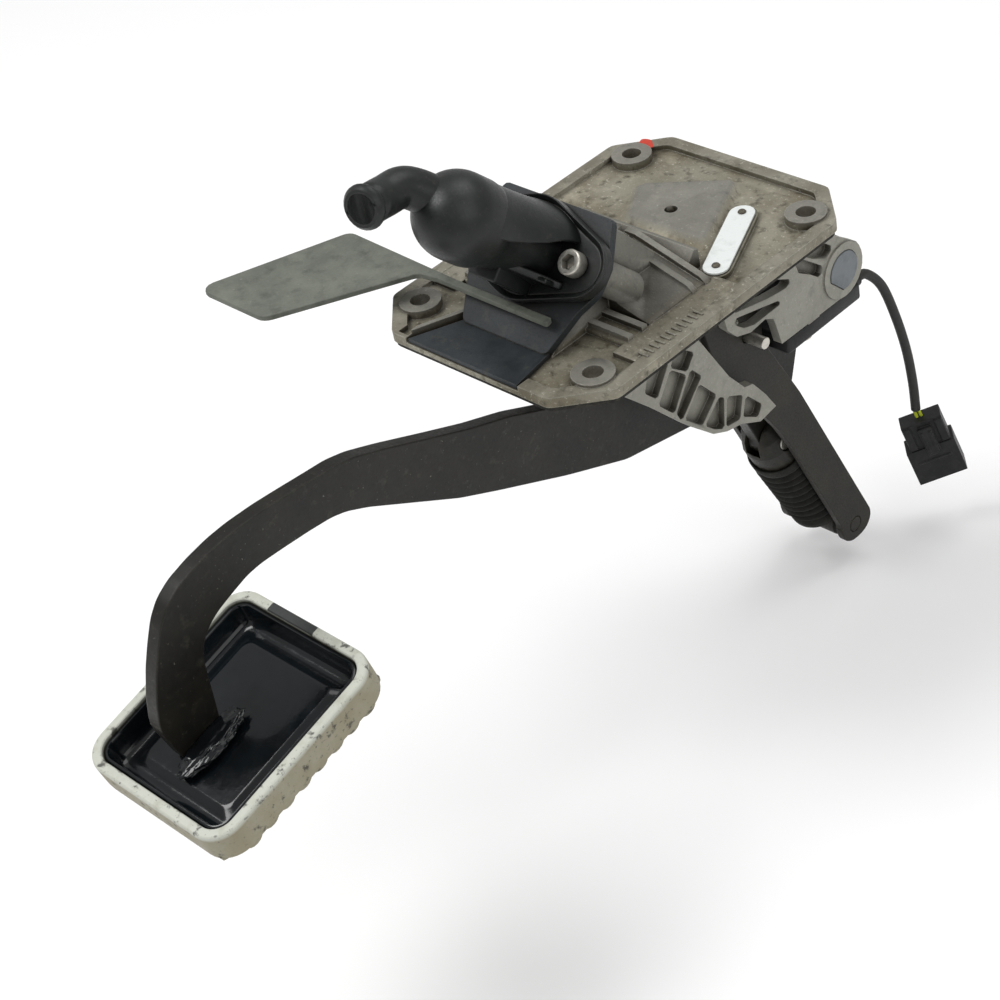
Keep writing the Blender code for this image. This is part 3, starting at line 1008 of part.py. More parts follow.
coil_hi = STRUT_LEN - CUP_SKIRT - GAP - COIL_WIRE_R
coil = []
steps = COIL_TURNS * 10
for i in range(steps + 1):
    t = i / steps
    rise = (t - sin(2 * pi * t) * 0.05)
    a = 2 * pi * COIL_TURNS * t
    p = strut_frame @ Vector((COIL_R * cos(a) * MM, COIL_R * sin(a) * MM, (coil_lo + (coil_hi - coil_lo) * rise) * MM))
    coil.append((p.x / MM, p.y / MM, p.z / MM))
wire("assist_spring", coil, COIL_WIRE_R, spring_mat, 1)
bel_lo = FOOT_DISC_0 + 0.4
bel_hi = STRUT_LEN - CUP_SKIRT + 5.0
outer = []
inner = []
n_pts = BELLOWS_FOLDS * 2
fold_lo = FOOT_DISC_1 + 2.2
fold_hi = STRUT_LEN - CUP_SKIRT - 2.2
for i in range(n_pts + 1):
    h = fold_hi - (fold_hi - fold_lo) * i / n_pts
    r = BELLOWS_R if i % 2 else BELLOWS_VALLEY_R + BELLOWS_WALL
    outer.append((r, h))
    inner.append((r - BELLOWS_WALL - (0.35 if i % 2 == 0 else 0.0), h))
grip = CUP_R + GAP
cuff_hi = STRUT_LEN - CUP_SKIRT - GAP * 2
cuff_lo = FOOT_DISC_1 + GAP * 2
prof = [(grip + BELLOWS_WALL, bel_hi), (grip + BELLOWS_WALL, cuff_hi)] + outer
prof += [(grip + BELLOWS_WALL, cuff_lo), (grip + BELLOWS_WALL, bel_lo), (grip, bel_lo), (grip, cuff_lo)]
prof += inner[::-1] + [(grip, cuff_hi), (grip, bel_hi)]
turned("spring_bellows", prof, strut_frame, rubber, n=20, closed=True)

# Position sensor under the right wall, its screw, cable, wires and connector
sensor = block("sensor_housing", SENSOR_X0, SENSOR_X1, SENSOR_Y0, SENSOR_Y1, SENSOR_TOP - SENSOR_H, SENSOR_TOP,
               black_plastic)
sensor_edge = sensor.modifiers.new("edge", "BEVEL")
sensor_edge.width = 1.2 * MM
sensor_edge.segments = 2
gland = rod("sensor_gland", (CABLE_START[0], SENSOR_Y1 - 3.0, CABLE_START[2]), (CABLE_START[0], CABLE_START[1] - GAP - CABLE_R * 0.3,
            CABLE_START[2]), CABLE_R + 1.4, n=16, cutter=True)
cut(sensor, gland, "UNION")
for i, (hx, hy) in enumerate(SENSOR_SCREWS):
    sh = rod("sensor_hole_%d" % i, (hx, hy, SENSOR_TOP - SENSOR_H - 3.0), (hx, hy, SENSOR_TOP + 3.0),
             SENSOR_SCREW_R + GAP, n=12, cutter=True)
    cut(sensor, sh)
    low = SENSOR_TOP - SENSOR_H - GAP
    turned("sensor_screw", [(0, SENSOR_H + GAP + 10.0), (SENSOR_SCREW_R, SENSOR_H + GAP + 10.0), (SENSOR_SCREW_R,
           0.0), (SENSOR_SCREW_R + 2.0, 0.0), (SENSOR_SCREW_R + 2.0, -1.6), (SENSOR_SCREW_R + 1.2, -2.4), (0, -2.4)],
           axes((1, 0, 0), (0, 1, 0), (0, 0, 1), (hx, hy, low)), zinc, n=16)
route = smooth_route(CABLE_ROUTE, CABLE_R * 2.0 * 1.6)
wire("sensor_cable", [tuple(p) for p in route], CABLE_R, rubber, 2)
con_z = Vector(CONNECTOR_AXIS).normalized()
con_x = Vector((0.7087, 0.6874, -0.1589))
con_x = (con_x - con_z * con_x.dot(con_z)).normalized()
con_y = con_z.cross(con_x)
cable_end = Vector(CABLE_ROUTE[-1])
wire_at = cable_end + con_z * (GAP + CABLE_R * 0.3)
for i, off in enumerate((-1.1, 1.1)):
    a = wire_at + con_x * off
    rod("cable_wire_%d" % (i + 1), a, a + con_z * WIRE_LEN, WIRE_R, wire_mat, n=10)
con_at = wire_at + con_z * (WIRE_LEN + GAP)
con_frame = axes(con_x, con_y, con_z, con_at)
hw = CONNECTOR_W / 2
ht = CONNECTOR_T / 2
conn = block("connector", -hw, hw, -ht + 1.0, ht - 1.0, 0.0, CONNECTOR_L * 0.5, black_plastic, con_frame)
lower = block("connector_lower", -hw - 1.5, hw + 2.5, -ht, ht, CONNECTOR_L * 0.42, CONNECTOR_L, None, con_frame, True)
cut(conn, lower, "UNION")
latch = block("connector_latch", -4.0, 3.0, -ht - 1.2, -ht + 2.0, 3.0, CONNECTOR_L * 0.55, None, con_frame, True)
cut(conn, latch, "UNION")
for i, gx in enumerate((-5.4, 4.2)):
    groove = block("connector_groove_%d" % i, gx, gx + 1.2, -ht - 3.0, -ht + 2.4, -2.0, CONNECTOR_L * 0.42, None,
                   con_frame, True)
    cut(conn, groove)

# Empties on the joints' axes carry the moving pieces; one more sets the unit down onto its origin
unit = bpy.data.objects.new("unit", None)
model.objects.link(unit)
AXES = {
    "pedal_axis": (PIVOT, ("pedal_arm", "pivot_tube", "hub_bush_left", "hub_bush_right", "pad_cover", "pad_tray",
                           "weld_bead")),
    "rod_axis": (CLEVIS, ("push_rod", "rod_clevis", "clevis_pin", "clevis_clip")),
    "piston_axis": ((CYL_O.y, CYL_O.z), ("piston",)),
    "spring_foot_axis": (SPRING_FOOT, ("spring_foot", "assist_spring", "spring_bellows")),
    "spring_cap_axis": (SPRING_TOP, ("spring_cup", "spring_pin_upper")),
}
carried = {}
for name, (at, nodes) in AXES.items():
    empty = bpy.data.objects.new(name, None)
    empty.location = (0.0, at[0] * MM, at[1] * MM)
    model.objects.link(empty)
    for node in nodes:
        carried[node] = empty
bpy.context.view_layer.update()
for ob in list(model.objects) + list(cutters.objects):
    if ob is not unit:
        ob.parent = carried.get(ob.name, unit)
        ob.matrix_parent_inverse = ob.parent.matrix_world.inverted()
unit.location.z = -SEAT_Z * MM
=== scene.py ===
from math import sin, cos, pi, radians, atan2, sqrt

import bpy
import bmesh
from mathutils import Matrix, Vector, noise


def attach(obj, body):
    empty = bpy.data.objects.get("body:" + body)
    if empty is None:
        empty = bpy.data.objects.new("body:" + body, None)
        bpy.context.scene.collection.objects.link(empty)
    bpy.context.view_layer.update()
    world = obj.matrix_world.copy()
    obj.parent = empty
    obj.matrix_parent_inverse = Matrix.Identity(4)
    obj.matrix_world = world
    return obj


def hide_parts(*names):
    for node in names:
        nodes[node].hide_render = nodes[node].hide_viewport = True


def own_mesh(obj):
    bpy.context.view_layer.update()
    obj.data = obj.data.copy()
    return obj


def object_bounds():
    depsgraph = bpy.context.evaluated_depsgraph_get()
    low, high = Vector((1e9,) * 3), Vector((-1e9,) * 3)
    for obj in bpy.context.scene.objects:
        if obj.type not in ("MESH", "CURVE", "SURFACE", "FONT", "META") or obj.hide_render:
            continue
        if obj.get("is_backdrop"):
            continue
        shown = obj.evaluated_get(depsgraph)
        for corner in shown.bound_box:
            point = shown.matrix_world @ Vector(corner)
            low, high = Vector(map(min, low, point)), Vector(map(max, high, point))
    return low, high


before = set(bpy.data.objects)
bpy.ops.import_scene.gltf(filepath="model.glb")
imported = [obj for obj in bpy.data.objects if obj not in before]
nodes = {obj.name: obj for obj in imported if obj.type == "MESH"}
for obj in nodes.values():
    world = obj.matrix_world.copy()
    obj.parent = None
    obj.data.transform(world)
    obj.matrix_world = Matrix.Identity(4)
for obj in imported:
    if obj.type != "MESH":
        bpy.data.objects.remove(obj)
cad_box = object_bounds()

scene = bpy.context.scene
MM = 0.001

# ---------------------------------------------------------------- camera, floor and light
# The camera stands to the right of the foot pad and looks down along the arm. The floor is pale
# studio paper under a white sky, with a key lamp from the front left and two softer lamps.
camera = bpy.data.objects.new("camera", bpy.data.cameras.new("camera"))
camera.data.lens = 84.6
camera.data.sensor_width = 36.0
camera.data.clip_start = 0.01
camera.matrix_world = Matrix(((0.7087, -0.3397, 0.6183, 0.6192), (0.6874, 0.5299, -0.4967, -0.5848),
                              (-0.1589, 0.7771, 0.6091, 0.5441), (0.0, 0.0, 0.0, 1.0)))
scene.collection.objects.link(camera)
scene.camera = camera
scene.view_settings.view_transform = "Standard"


def add_node(tree, kind, settings=None, inputs=None):
    # One shader node; an input may be a value or the output socket that feeds it.
    node = tree.nodes.new(kind)
    for key, value in (settings or {}).items():
        setattr(node, key, value)
    for key, value in (inputs or {}).items():
        if isinstance(value, bpy.types.NodeSocket):
            tree.links.new(value, node.inputs[key])
        else:
            node.inputs[key].default_value = value
    return node


FLOOR_Z = -0.236
FLOOR_HALF = 6.0
bm = bmesh.new()
bmesh.ops.create_grid(bm, x_segments=1, y_segments=1, size=FLOOR_HALF)
bmesh.ops.translate(bm, verts=bm.verts, vec=(0.0, 0.0, FLOOR_Z))
floor_mesh = bpy.data.meshes.new("floor")
bm.to_mesh(floor_mesh)
bm.free()
floor = bpy.data.objects.new("floor", floor_mesh)
scene.collection.objects.link(floor)
floor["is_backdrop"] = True
# matt white studio paper: pale, without shine, so that the floor reads as the white background
paper = bpy.data.materials.new("studio_paper")
paper.use_nodes = True
shader = paper.node_tree.nodes["Principled BSDF"]
shader.inputs["Base Color"].default_value = (0.93, 0.93, 0.93, 1.0)
shader.inputs["Roughness"].default_value = 0.95
shader.inputs["Specular IOR Level"].default_value = 0.0
floor_mesh.materials.append(paper)

SKY_LIGHT = 0.52
SKY_SEEN = 1.0
world = bpy.data.worlds.new("studio")
scene.world = world
world.use_nodes = True
tree = world.node_tree
for old in list(tree.nodes):
    tree.nodes.remove(old)
rays = add_node(tree, "ShaderNodeLightPath")
seen = add_node(tree, "ShaderNodeMath", {"operation": "MAXIMUM"},
                {0: rays.outputs["Is Camera Ray"], 1: rays.outputs["Is Transmission Ray"]})
level = add_node(tree, "ShaderNodeMapRange", None,
                 {"Value": seen.outputs[0], "To Min": SKY_LIGHT, "To Max": SKY_SEEN})
sky = add_node(tree, "ShaderNodeBackground", None,
               {"Color": (1.0, 1.0, 1.0, 1.0), "Strength": level.outputs[0]})
add_node(tree, "ShaderNodeOutputWorld", None, {"Surface": sky.outputs[0]})

LIT_POINT = Vector((0.0, -0.05, -0.05))
for name, place, size, watts in (("key_light", (-0.7, -0.9, 1.6), 0.9, 22.0),
                                 ("fill_light", (1.5, -0.2, 1.0), 1.4, 7.0),
                                 ("top_light", (0.1, 0.7, 1.7), 1.2, 11.0)):
    lamp = bpy.data.lights.new(name, "AREA")
    lamp.size = size
    lamp.energy = watts
    holder = bpy.data.objects.new(name, lamp)
    holder.location = place
    holder.rotation_euler = (LIT_POINT - Vector(place)).to_track_quat("-Z", "Y").to_euler()
    scene.collection.objects.link(holder)

# ---------------------------------------------------------------- cable, wires and connector
# A 4.8 mm rubber sheathed cable hangs from the position sensor's gland; two yellow wires leave its
# end and go into a black moulded connector with ribbed grip sides and a latch.


def linear(code):
    # Hex sRGB to the linear colour that shader sockets take.
    out = []
    for i in (1, 3, 5):
        c = int(code[i:i + 2], 16) / 255.0
        out.append(c / 12.92 if c <= 0.04045 else ((c + 0.055) / 1.055) ** 2.4)
    return (out[0], out[1], out[2], 1.0)


def surface(name, base, layers, rough=0.5, rough_vary=0.12, metal=0.0, grain=1.2, grain_depth=0.08,
            edge=None, edge_width=0.6, edge_gain=1.0, coat=0.0, slopes=(), slopes_first=False, window=None,
            shade_and_grime=None, shade_and_grime_reach=8.0, gloss=0.5):
    # A material with patches and specks of other colours, a fine grain, and worn edges. All sizes are mm.
    # layers: (colour, patch size, low, high, strength) of a noise that fades in from low to high.
    # slopes: (axis, start, end, colour, strength) mixes a colour in along an axis.
    # window: two (axis, middle, half width) and the colour of the spot where both hold.
    # the hollow colour paints shade, with some grime, into hollows narrower than its reach; gloss is the
    # shader's specular level.
    mat = bpy.data.materials.new(name)
    mat.use_nodes = True
    tree = mat.node_tree
    shader = tree.nodes["Principled BSDF"]
    place = add_node(tree, "ShaderNodeTexCoord").outputs["Object"]
    spots = []
    for i, (tint, patch, low, high, strength) in enumerate(layers):
        moved = add_node(tree, "ShaderNodeVectorMath", {"operation": "ADD"},
                         {0: place, 1: (0.31 * i, 0.17 * i, 0.0)})
        cloud = add_node(tree, "ShaderNodeTexNoise", None,
                         {"Vector": moved.outputs[0], "Scale": 1000.0 / patch, "Detail": 7.0, "Roughness": 0.62})
        mask = add_node(tree, "ShaderNodeMapRange", None,
                        {"Value": cloud.outputs[0], "From Min": low, "From Max": high, "To Max": strength})
        spots.append((mask.outputs[0], tint))
    shades = []
    for axis, start, end, tint, strength in slopes:
        along = add_node(tree, "ShaderNodeVectorMath", {"operation": "DOT_PRODUCT"}, {0: place, 1: axis})
        mask = add_node(tree, "ShaderNodeMapRange", None,
                        {"Value": along.outputs["Value"], "From Min": start * MM, "From Max": end * MM,
                         "To Max": strength})
        shades.append((mask.outputs[0], tint))
    masks = shades + spots if slopes_first else spots + shades
    if window:
        inside = []
        for axis, middle, half in window[:2]:
            along = add_node(tree, "ShaderNodeVectorMath", {"operation": "DOT_PRODUCT"}, {0: place, 1: axis})
            near = add_node(tree, "ShaderNodeMath", {"operation": "COMPARE"},
                            {0: along.outputs["Value"], 1: middle * MM, 2: half * MM})
            inside.append(near.outputs[0])
        both = add_node(tree, "ShaderNodeMath", {"operation": "MULTIPLY"}, {0: inside[0], 1: inside[1]})
        masks.append((both.outputs[0], window[2]))
    if shade_and_grime:
        # painted shade: ambient occlusion darkens the colour in narrow hollows, with some grime in it
        open_sky = add_node(tree, "ShaderNodeAmbientOcclusion", {"samples": 6}, {"Distance": shade_and_grime_reach * MM})
        mask = add_node(tree, "ShaderNodeMapRange", None,
                        {"Value": open_sky.outputs["AO"], "From Min": 0.88, "From Max": 0.35, "To Max": 0.9})
        masks.append((mask.outputs[0], shade_and_grime))
    fine = add_node(tree, "ShaderNodeTexNoise", None,
                    {"Vector": place, "Scale": 1000.0 / grain, "Detail": 5.0, "Roughness": 0.6})
    bump = add_node(tree, "ShaderNodeBump", None,
                    {"Height": fine.outputs[0], "Distance": grain_depth * MM, "Strength": 0.8})
    if edge:
        # an edge is worn where the softened normal turns away from the true one, in patches
        soft_edge = add_node(tree, "ShaderNodeBevel", {"samples": 4}, {"Radius": edge_width * MM})
        true_face = add_node(tree, "ShaderNodeNewGeometry")
        same = add_node(tree, "ShaderNodeVectorMath", {"operation": "DOT_PRODUCT"},
                        {0: soft_edge.outputs[0], 1: true_face.outputs["Normal"]})
        worn = add_node(tree, "ShaderNodeMapRange", None,
                        {"Value": same.outputs["Value"], "From Min": 0.99, "From Max": 0.80,
                         "To Max": edge_gain})
        cloud = add_node(tree, "ShaderNodeTexNoise", None,
                         {"Vector": place, "Scale": 90.0, "Detail": 6.0, "Roughness": 0.7})
        patchy = add_node(tree, "ShaderNodeMapRange", None,
                          {"Value": cloud.outputs[0], "From Min": 0.35, "From Max": 0.62})
        mask = add_node(tree, "ShaderNodeMath", {"operation": "MULTIPLY"},
                        {0: worn.outputs[0], 1: patchy.outputs[0]})
        masks.append((mask.outputs[0], edge))
        tree.links.new(soft_edge.outputs[0], bump.inputs["Normal"])
    colour = linear(base)
    for mask, tint in masks:
        mix = add_node(tree, "ShaderNodeMix", {"data_type": "RGBA"},
                       {"Factor": mask, 6: colour, 7: linear(tint)})
        colour = mix.outputs[2]
    shine = add_node(tree, "ShaderNodeMapRange", None,
                     {"Value": fine.outputs[0], "From Min": 0.3, "From Max": 0.7,
                      "To Min": max(rough - rough_vary, 0.02), "To Max": min(rough + rough_vary, 1.0)})
    tree.links.new(colour, shader.inputs["Base Color"])
    tree.links.new(shine.outputs[0], shader.inputs["Roughness"])
    tree.links.new(bump.outputs[0], shader.inputs["Normal"])
    shader.inputs["Metallic"].default_value = metal
    shader.inputs["Specular IOR Level"].default_value = gloss
    shader.inputs["Coat Weight"].default_value = coat
    shader.inputs["Coat Roughness"].default_value = 0.06
    return mat


def finished(name, bm, mat, body, stands_for=(), angle=35.0, edge=0.0, segments=2):
    # Turns a bmesh in metres into a piece: smooth by angle, with its edges bevelled by that many mm.
    bmesh.ops.recalc_face_normals(bm, faces=bm.faces)
    mesh = bpy.data.meshes.new(name)
    bm.to_mesh(mesh)
    bm.free()
    mesh.materials.append(mat)
    mesh.shade_smooth()
    mesh.set_sharp_from_angle(angle=radians(angle))
    ob = bpy.data.objects.new(name, mesh)
    scene.collection.objects.link(ob)
    if edge > 0.0:
        bevel = ob.modifiers.new("edge", "BEVEL")
        bevel.width = edge * MM
        bevel.segments = segments
        bevel.affect = "EDGES"
        bevel.profile = 0.5
        bevel.material = -1
        bevel.limit_method = "ANGLE"
        bevel.angle_limit = radians(angle)
        bevel.harden_normals = True
    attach(ob, body)
    if stands_for:
        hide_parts(*stands_for)
    return ob


def merged(node):
    # A copy of a CAD node's mesh with its doubles merged and its flat faces made whole.
    bm = bmesh.new()
    bm.from_mesh(nodes[node].data)
    bmesh.ops.remove_doubles(bm, verts=bm.verts, dist=0.00001)
    bmesh.ops.dissolve_limit(bm, angle_limit=radians(0.5), verts=bm.verts, edges=bm.edges)
    return bm


def dressed(node, mat, body, angle=35.0, edge=0.0):
    # A merged copy of a CAD node with rounded edges, in place of the node itself.
    return finished(node + "_dressed", merged(node), mat, body, (node,), angle, edge)


def frame_at(origin, along, side=(1.0, 0.0, 0.0)):
    # A frame in metres whose Z runs along a direction and whose X leans towards side.
    z = Vector(along).normalized()
    x = Vector(side)
    x = (x - z * x.dot(z)).normalized()
    out = Matrix((x, z.cross(x), z)).transposed().to_4x4()
    out.translation = Vector(origin) * MM
    return out


def slab(outline, low, high, matrix):
    # A flat outline in mm, extruded between two heights of its frame.
    bm = bmesh.new()
    face = bm.faces.new([bm.verts.new((x * MM, y * MM, low * MM)) for x, y in outline])
    lifted = bmesh.ops.extrude_face_region(bm, geom=[face])
    moved = [v for v in lifted["geom"] if isinstance(v, bmesh.types.BMVert)]
    bmesh.ops.translate(bm, verts=moved, vec=(0.0, 0.0, (high - low) * MM))
    bmesh.ops.transform(bm, matrix=matrix, verts=bm.verts)
    return bm


def box(x0, x1, y0, y1, z0, z1, matrix):
    # A block in mm in its own frame, for small moulded details.
    return slab([(x0, y0), (x1, y0), (x1, y1), (x0, y1)], z0, z1, matrix)


def joined(*parts):
    # Several bmeshes as one.
    whole = bmesh.new()
    for part in parts:
        temp = bpy.data.meshes.new("part")
        part.to_mesh(temp)
        part.free()
        whole.from_mesh(temp)
        bpy.data.meshes.remove(temp)
    return whole


def smooth_route(points, count):
    # Catmull-Rom through the points, with count steps between each two.
    p = [Vector(q) for q in points]
    p = [p[0] * 2 - p[1]] + p + [p[-1] * 2 - p[-2]]
    out = []
    for a, b, c, d in zip(p, p[1:], p[2:], p[3:]):
        for k in range(count):
            t = k / count
            out.append(0.5 * ((2 * b) + (c - a) * t + (2 * a - 5 * b + 4 * c - d) * t * t
                              + (3 * b - a - 3 * c + d) * t * t * t))
    out.append(p[-2])
    return out


def tube(name, points, radii, caps=True, resolution=6):
    # A round tube of changing radius in mm along a smooth path, as a merged mesh.
    curve = bpy.data.curves.new(name, "CURVE")
    curve.dimensions = "3D"
    curve.bevel_depth = MM
    curve.bevel_resolution = resolution
    curve.use_fill_caps = caps
    line = curve.splines.new("POLY")
    line.points.add(len(points) - 1)
    for point, co, r in zip(line.points, points, radii):
        point.co = (co[0] * MM, co[1] * MM, co[2] * MM, 1.0)
        point.radius = r
    holder = bpy.data.objects.new(name, curve)
    scene.collection.objects.link(holder)
    bpy.context.view_layer.update()
    bm = bmesh.new()
    bm.from_mesh(holder.to_mesh())
    bpy.data.objects.remove(holder, do_unlink=True)
    bmesh.ops.remove_doubles(bm, verts=bm.verts, dist=0.000005)
    return bm


# black rubber sheath: almost black, dull, with a little dust
cable_rubber = surface("cable_sheath_rubber", "#181916", [("#2c2b26", 5.0, 0.5, 0.75, 0.6)], rough=0.6,
                       grain=0.6)
# yellow insulation: bright, slightly glossy, soiled towards olive in places
yellow_insulation = surface("yellow_wire_insulation", "#c2cf2a", [("#6f7424", 2.0, 0.45, 0.7, 0.6)], rough=0.4)
# black moulded nylon: satin, dusty grey in patches, with paler rubbed edges
connector_nylon = surface("connector_nylon", "#121313",
                          [("#262726", 6.0, 0.42, 0.72, 0.8), ("#3c3d3a", 1.4, 0.6, 0.75, 0.5)],
                          rough=0.5, grain=0.5, edge="#444542", edge_width=0.5, edge_gain=0.6, gloss=0.3)
CABLE_D = 4.8
CABLE_ROUTE = ((22.0, 131.5, -71.3), (22.6, 138.0, -73.0), (24.6, 146.0, -83.5), (26.6, 152.0, -103.0),
               (27.6, 157.5, -126.0), (28.0, 160.5, -148.0), (28.0, 161.5, -165.0))
route = smooth_route(CABLE_ROUTE, 5)
cable = finished("sensor_cable_sheath", tube("sheath", route, [CABLE_D / 2] * len(route)), cable_rubber,
                 "bracket", ("sensor_cable",))
wire_a = dressed("cable_wire_1", yellow_insulation, "bracket")
wire_b = dressed("cable_wire_2", yellow_insulation, "bracket")
# the connector hangs from the wires, with its latch to the front right
SEAT_GAP = 0.3
SHEATH_END = CABLE_D * 0.15
WIRE_SHOWN = 4.0
plug_z = Vector((0.2, 0.2, -0.96)).normalized()
plug_at = Vector(CABLE_ROUTE[-1]) + plug_z * (SEAT_GAP + SHEATH_END + WIRE_SHOWN + SEAT_GAP)
plug_frame = frame_at(plug_at, plug_z, (-0.7087, -0.6874, 0.1589))
PLUG_REAR = (-10.5, 10.5, -5.0, 5.0, 0.0, 18.0)
PLUG_FRONT = (-12.0, 13.0, -6.0, 6.0, 15.6, 37.0)
PLUG_LATCH = (-4.0, 3.0, -7.2, -4.0, 3.0, 20.4)
PLUG_GRIPS = ((-10.2, -6.2, -6.0, -4.5, 1.0, 15.0), (6.2, 10.2, -6.0, -4.5, 1.0, 15.0))
PLUG_COLLAR = (-8.0, 9.0, -6.5, -5.5, 23.0, 24.4)
LATCH_RIBS = ((-3.2, -1.8, -7.8, -7.0, 5.0, 19.0), (0.8, 2.2, -7.8, -7.0, 5.0, 19.0))
plug = joined(*[box(*block, plug_frame)
                for block in (PLUG_REAR, PLUG_FRONT, PLUG_LATCH, *PLUG_GRIPS, PLUG_COLLAR, *LATCH_RIBS)])
plug_piece = finished("connector_shell", plug, connector_nylon, "bracket", ("connector",),
                      edge=0.5)

# ---------------------------------------------------------------- bracket casting and flange
# One aluminium pressure die casting: flange, cylinder seat, side walls and pivot bosses. The skin is
# dull and grimy, the hollows are darkened with painted shade and brown grime, and rims and rib crests are rubbed
# to paler metal.


def spun(profile, matrix, steps):
    # A turned form: radius and height pairs in mm, spun about the frame's Z.
    bm = bmesh.new()
    verts = [bm.verts.new((r * MM, 0.0, h * MM)) for r, h in profile]
    edges = [bm.edges.new(pair) for pair in zip(verts, verts[1:])]
    bmesh.ops.spin(bm, geom=verts + edges, cent=(0, 0, 0), axis=(0, 0, 1), angle=2 * pi, steps=steps,
                   use_merge=True)
    bmesh.ops.remove_doubles(bm, verts=bm.verts, dist=0.000005)
    bmesh.ops.transform(bm, matrix=matrix, verts=bm.verts)
    return bm


# the walls below the flange are cleaner, and what stands above its floor is greyer
UP = (0.0, 0.0, 1.0)
WALL_SHADE = (UP, 0.0, -12.0, "#8e8e87", 0.65)
RAISED_SHADE = (UP, 6.2, 8.6, "#73736e", 0.7)
# die cast aluminium, dirty: grey-beige with brown film in patches, pale specks, rubbed edges, and painted shade
# with brown grime in its hollows
cast_metal = surface("die_cast_aluminium", "#8b8778",
                     [("#625b47", 34.0, 0.40, 0.62, 0.8), ("#a09b89", 12.0, 0.52, 0.70, 0.7),
                      ("#3a3426", 5.0, 0.54, 0.70, 0.85), ("#c6c2b5", 1.6, 0.59, 0.71, 0.7)],
                     rough=0.55, rough_vary=0.14, metal=0.25, grain=0.9, grain_depth=0.14, edge="#b3b0a6",
                     edge_width=0.8, edge_gain=0.8, slopes=(WALL_SHADE, RAISED_SHADE), shade_and_grime="#2e281c",
                     shade_and_grime_reach=9.0)
dressed("bracket_casting", cast_metal, "bracket", angle=30.0)
# compressed gasket board: nearly black, fibrous and dull
gasket_board = surface("gasket_board", "#1a1915", [("#3f3c31", 3.0, 0.45, 0.7, 0.7)], rough=0.85, grain=0.4)
dressed("flange_gasket", gasket_board, "bracket")
# short cast ticks across the flange's right rim
TICK_X = 58.2
TICK_Y = -47.0
TICK_Z = (6.2, 7.5)
TICK_HALF_LENGTH = 2.6
TICK_HALF_WIDTH = 0.55
TICK_PITCH = 3.4
TICK_COUNT = 11
ticks = []
for k in range(TICK_COUNT):
    y = TICK_Y + TICK_PITCH * k
    ticks.append(box(TICK_X - TICK_HALF_LENGTH, TICK_X + TICK_HALF_LENGTH, y - TICK_HALF_WIDTH,
                     y + TICK_HALF_WIDTH, *TICK_Z, Matrix.Identity(4)))
finished("flange_edge_ticks", joined(*ticks), cast_metal, "bracket", edge=0.25)
# red marking paint: a small matt dab on the edge beside one bolt boss
red_paint = surface("red_marking_paint", "#b9321b", [("#8a2815", 2.0, 0.5, 0.75, 0.6)], rough=0.5, grain=0.5)
DAB_PLACE = (-51.8, 79.0, 7.1)
DAB_PROFILE = [(0.0, 0.35), (2.6, 0.3), (4.1, 0.0), (4.2, -0.3), (0.0, -0.3)]
DAB_WANDER = 0.9
dab = spun(DAB_PROFILE, Matrix.Translation(Vector(DAB_PLACE) * MM), 24)
for v in dab.verts:
    v.co.x += DAB_WANDER * MM * sin(v.co.y * 900.0)
finished("red_paint_dab", dab, red_paint, "bracket")

# ---------------------------------------------------------------- name plate and rivets
# A small stamped plate of satin metal, left bare, on its raised pad of the casting. Two rivets hold
# it, and their heads are dark with dirt.

# bare label metal: off-white satin with grey scuffs and grimy spots
label_metal = surface("bare_label_plate", "#dfe3e1",
                      [("#aeb2ae", 7.0, 0.5, 0.75, 0.5), ("#74756f", 1.6, 0.66, 0.76, 0.7)],
                      rough=0.38, metal=0.2, grain=0.6, grain_depth=0.03, edge="#8d8f8a", edge_width=0.3)
dressed("name_plate", label_metal, "bracket", edge=0.2)
# rivet heads darkened by dirt: brown-grey, dull
dull_rivet = surface("dirty_rivet_steel", "#5d584d", [("#38352d", 1.5, 0.45, 0.7, 0.7)], rough=0.55, metal=0.6,
                     grain=0.4)
RIVET_SEAT_Z = 8.3
RIVET_PROFILE = [(0.0, 1.0), (0.9, 0.92), (1.5, 0.6), (1.9, 0.0), (1.3, 0.0), (1.3, -3.4), (0.0, -3.4)]
for i, (x, y) in enumerate(((43.1, 16.5), (25.8, 54.6)), 1):
    head = spun(RIVET_PROFILE, Matrix.Translation(Vector((x, y, RIVET_SEAT_Z)) * MM), 28)
    finished("plate_rivet_head_%d" % i, head, dull_rivet, "bracket", ("plate_rivet_%d" % i,))

# ---------------------------------------------------------------- master cylinder and boot
# A black glass-filled nylon body in the casting's bore, with a six-sided base plate and an apron down
# to the flange's edge, both dusty slate grey. A soft rubber boot closes its open end.

# glass-filled nylon, dusty: blue-grey black with a khaki dust film, scuffed paler edges, and painted shade in
# its hollows
slate_nylon = surface("slate_nylon", "#22272a",
                      [("#31363a", 26.0, 0.40, 0.66, 0.8), ("#44443c", 6.0, 0.56, 0.75, 0.6),
                       ("#181c1f", 9.0, 0.5, 0.7, 0.6)],
                      rough=0.5, grain=0.8, grain_depth=0.05, edge="#5a5b54", edge_width=0.6, edge_gain=0.8,
                      shade_and_grime="#14120d", gloss=0.35)
dressed("master_cylinder", slate_nylon, "bracket", edge=0.5)
# dusty black rubber: soft and matt, with grey dust in patches and painted shade darkening its folds and hollows
black_rubber = surface("black_rubber", "#151511",
                       [("#292924", 8.0, 0.46, 0.72, 0.7), ("#403e36", 1.8, 0.62, 0.76, 0.5)],
                       rough=0.72, grain=0.7, grain_depth=0.06, shade_and_grime="#060605", shade_and_grime_reach=3.0, gloss=0.25)
dressed("cylinder_boot", black_rubber, "bracket")
dressed("elbow_seal", black_rubber, "bracket")

# ---------------------------------------------------------------- hose elbow
# Injection moulded black nylon: a lens-shaped flange with a raised lip, a neck that swells into a
# round dome, a curved hood behind it, ribs below, and a bent spigot with a bead for the hose.

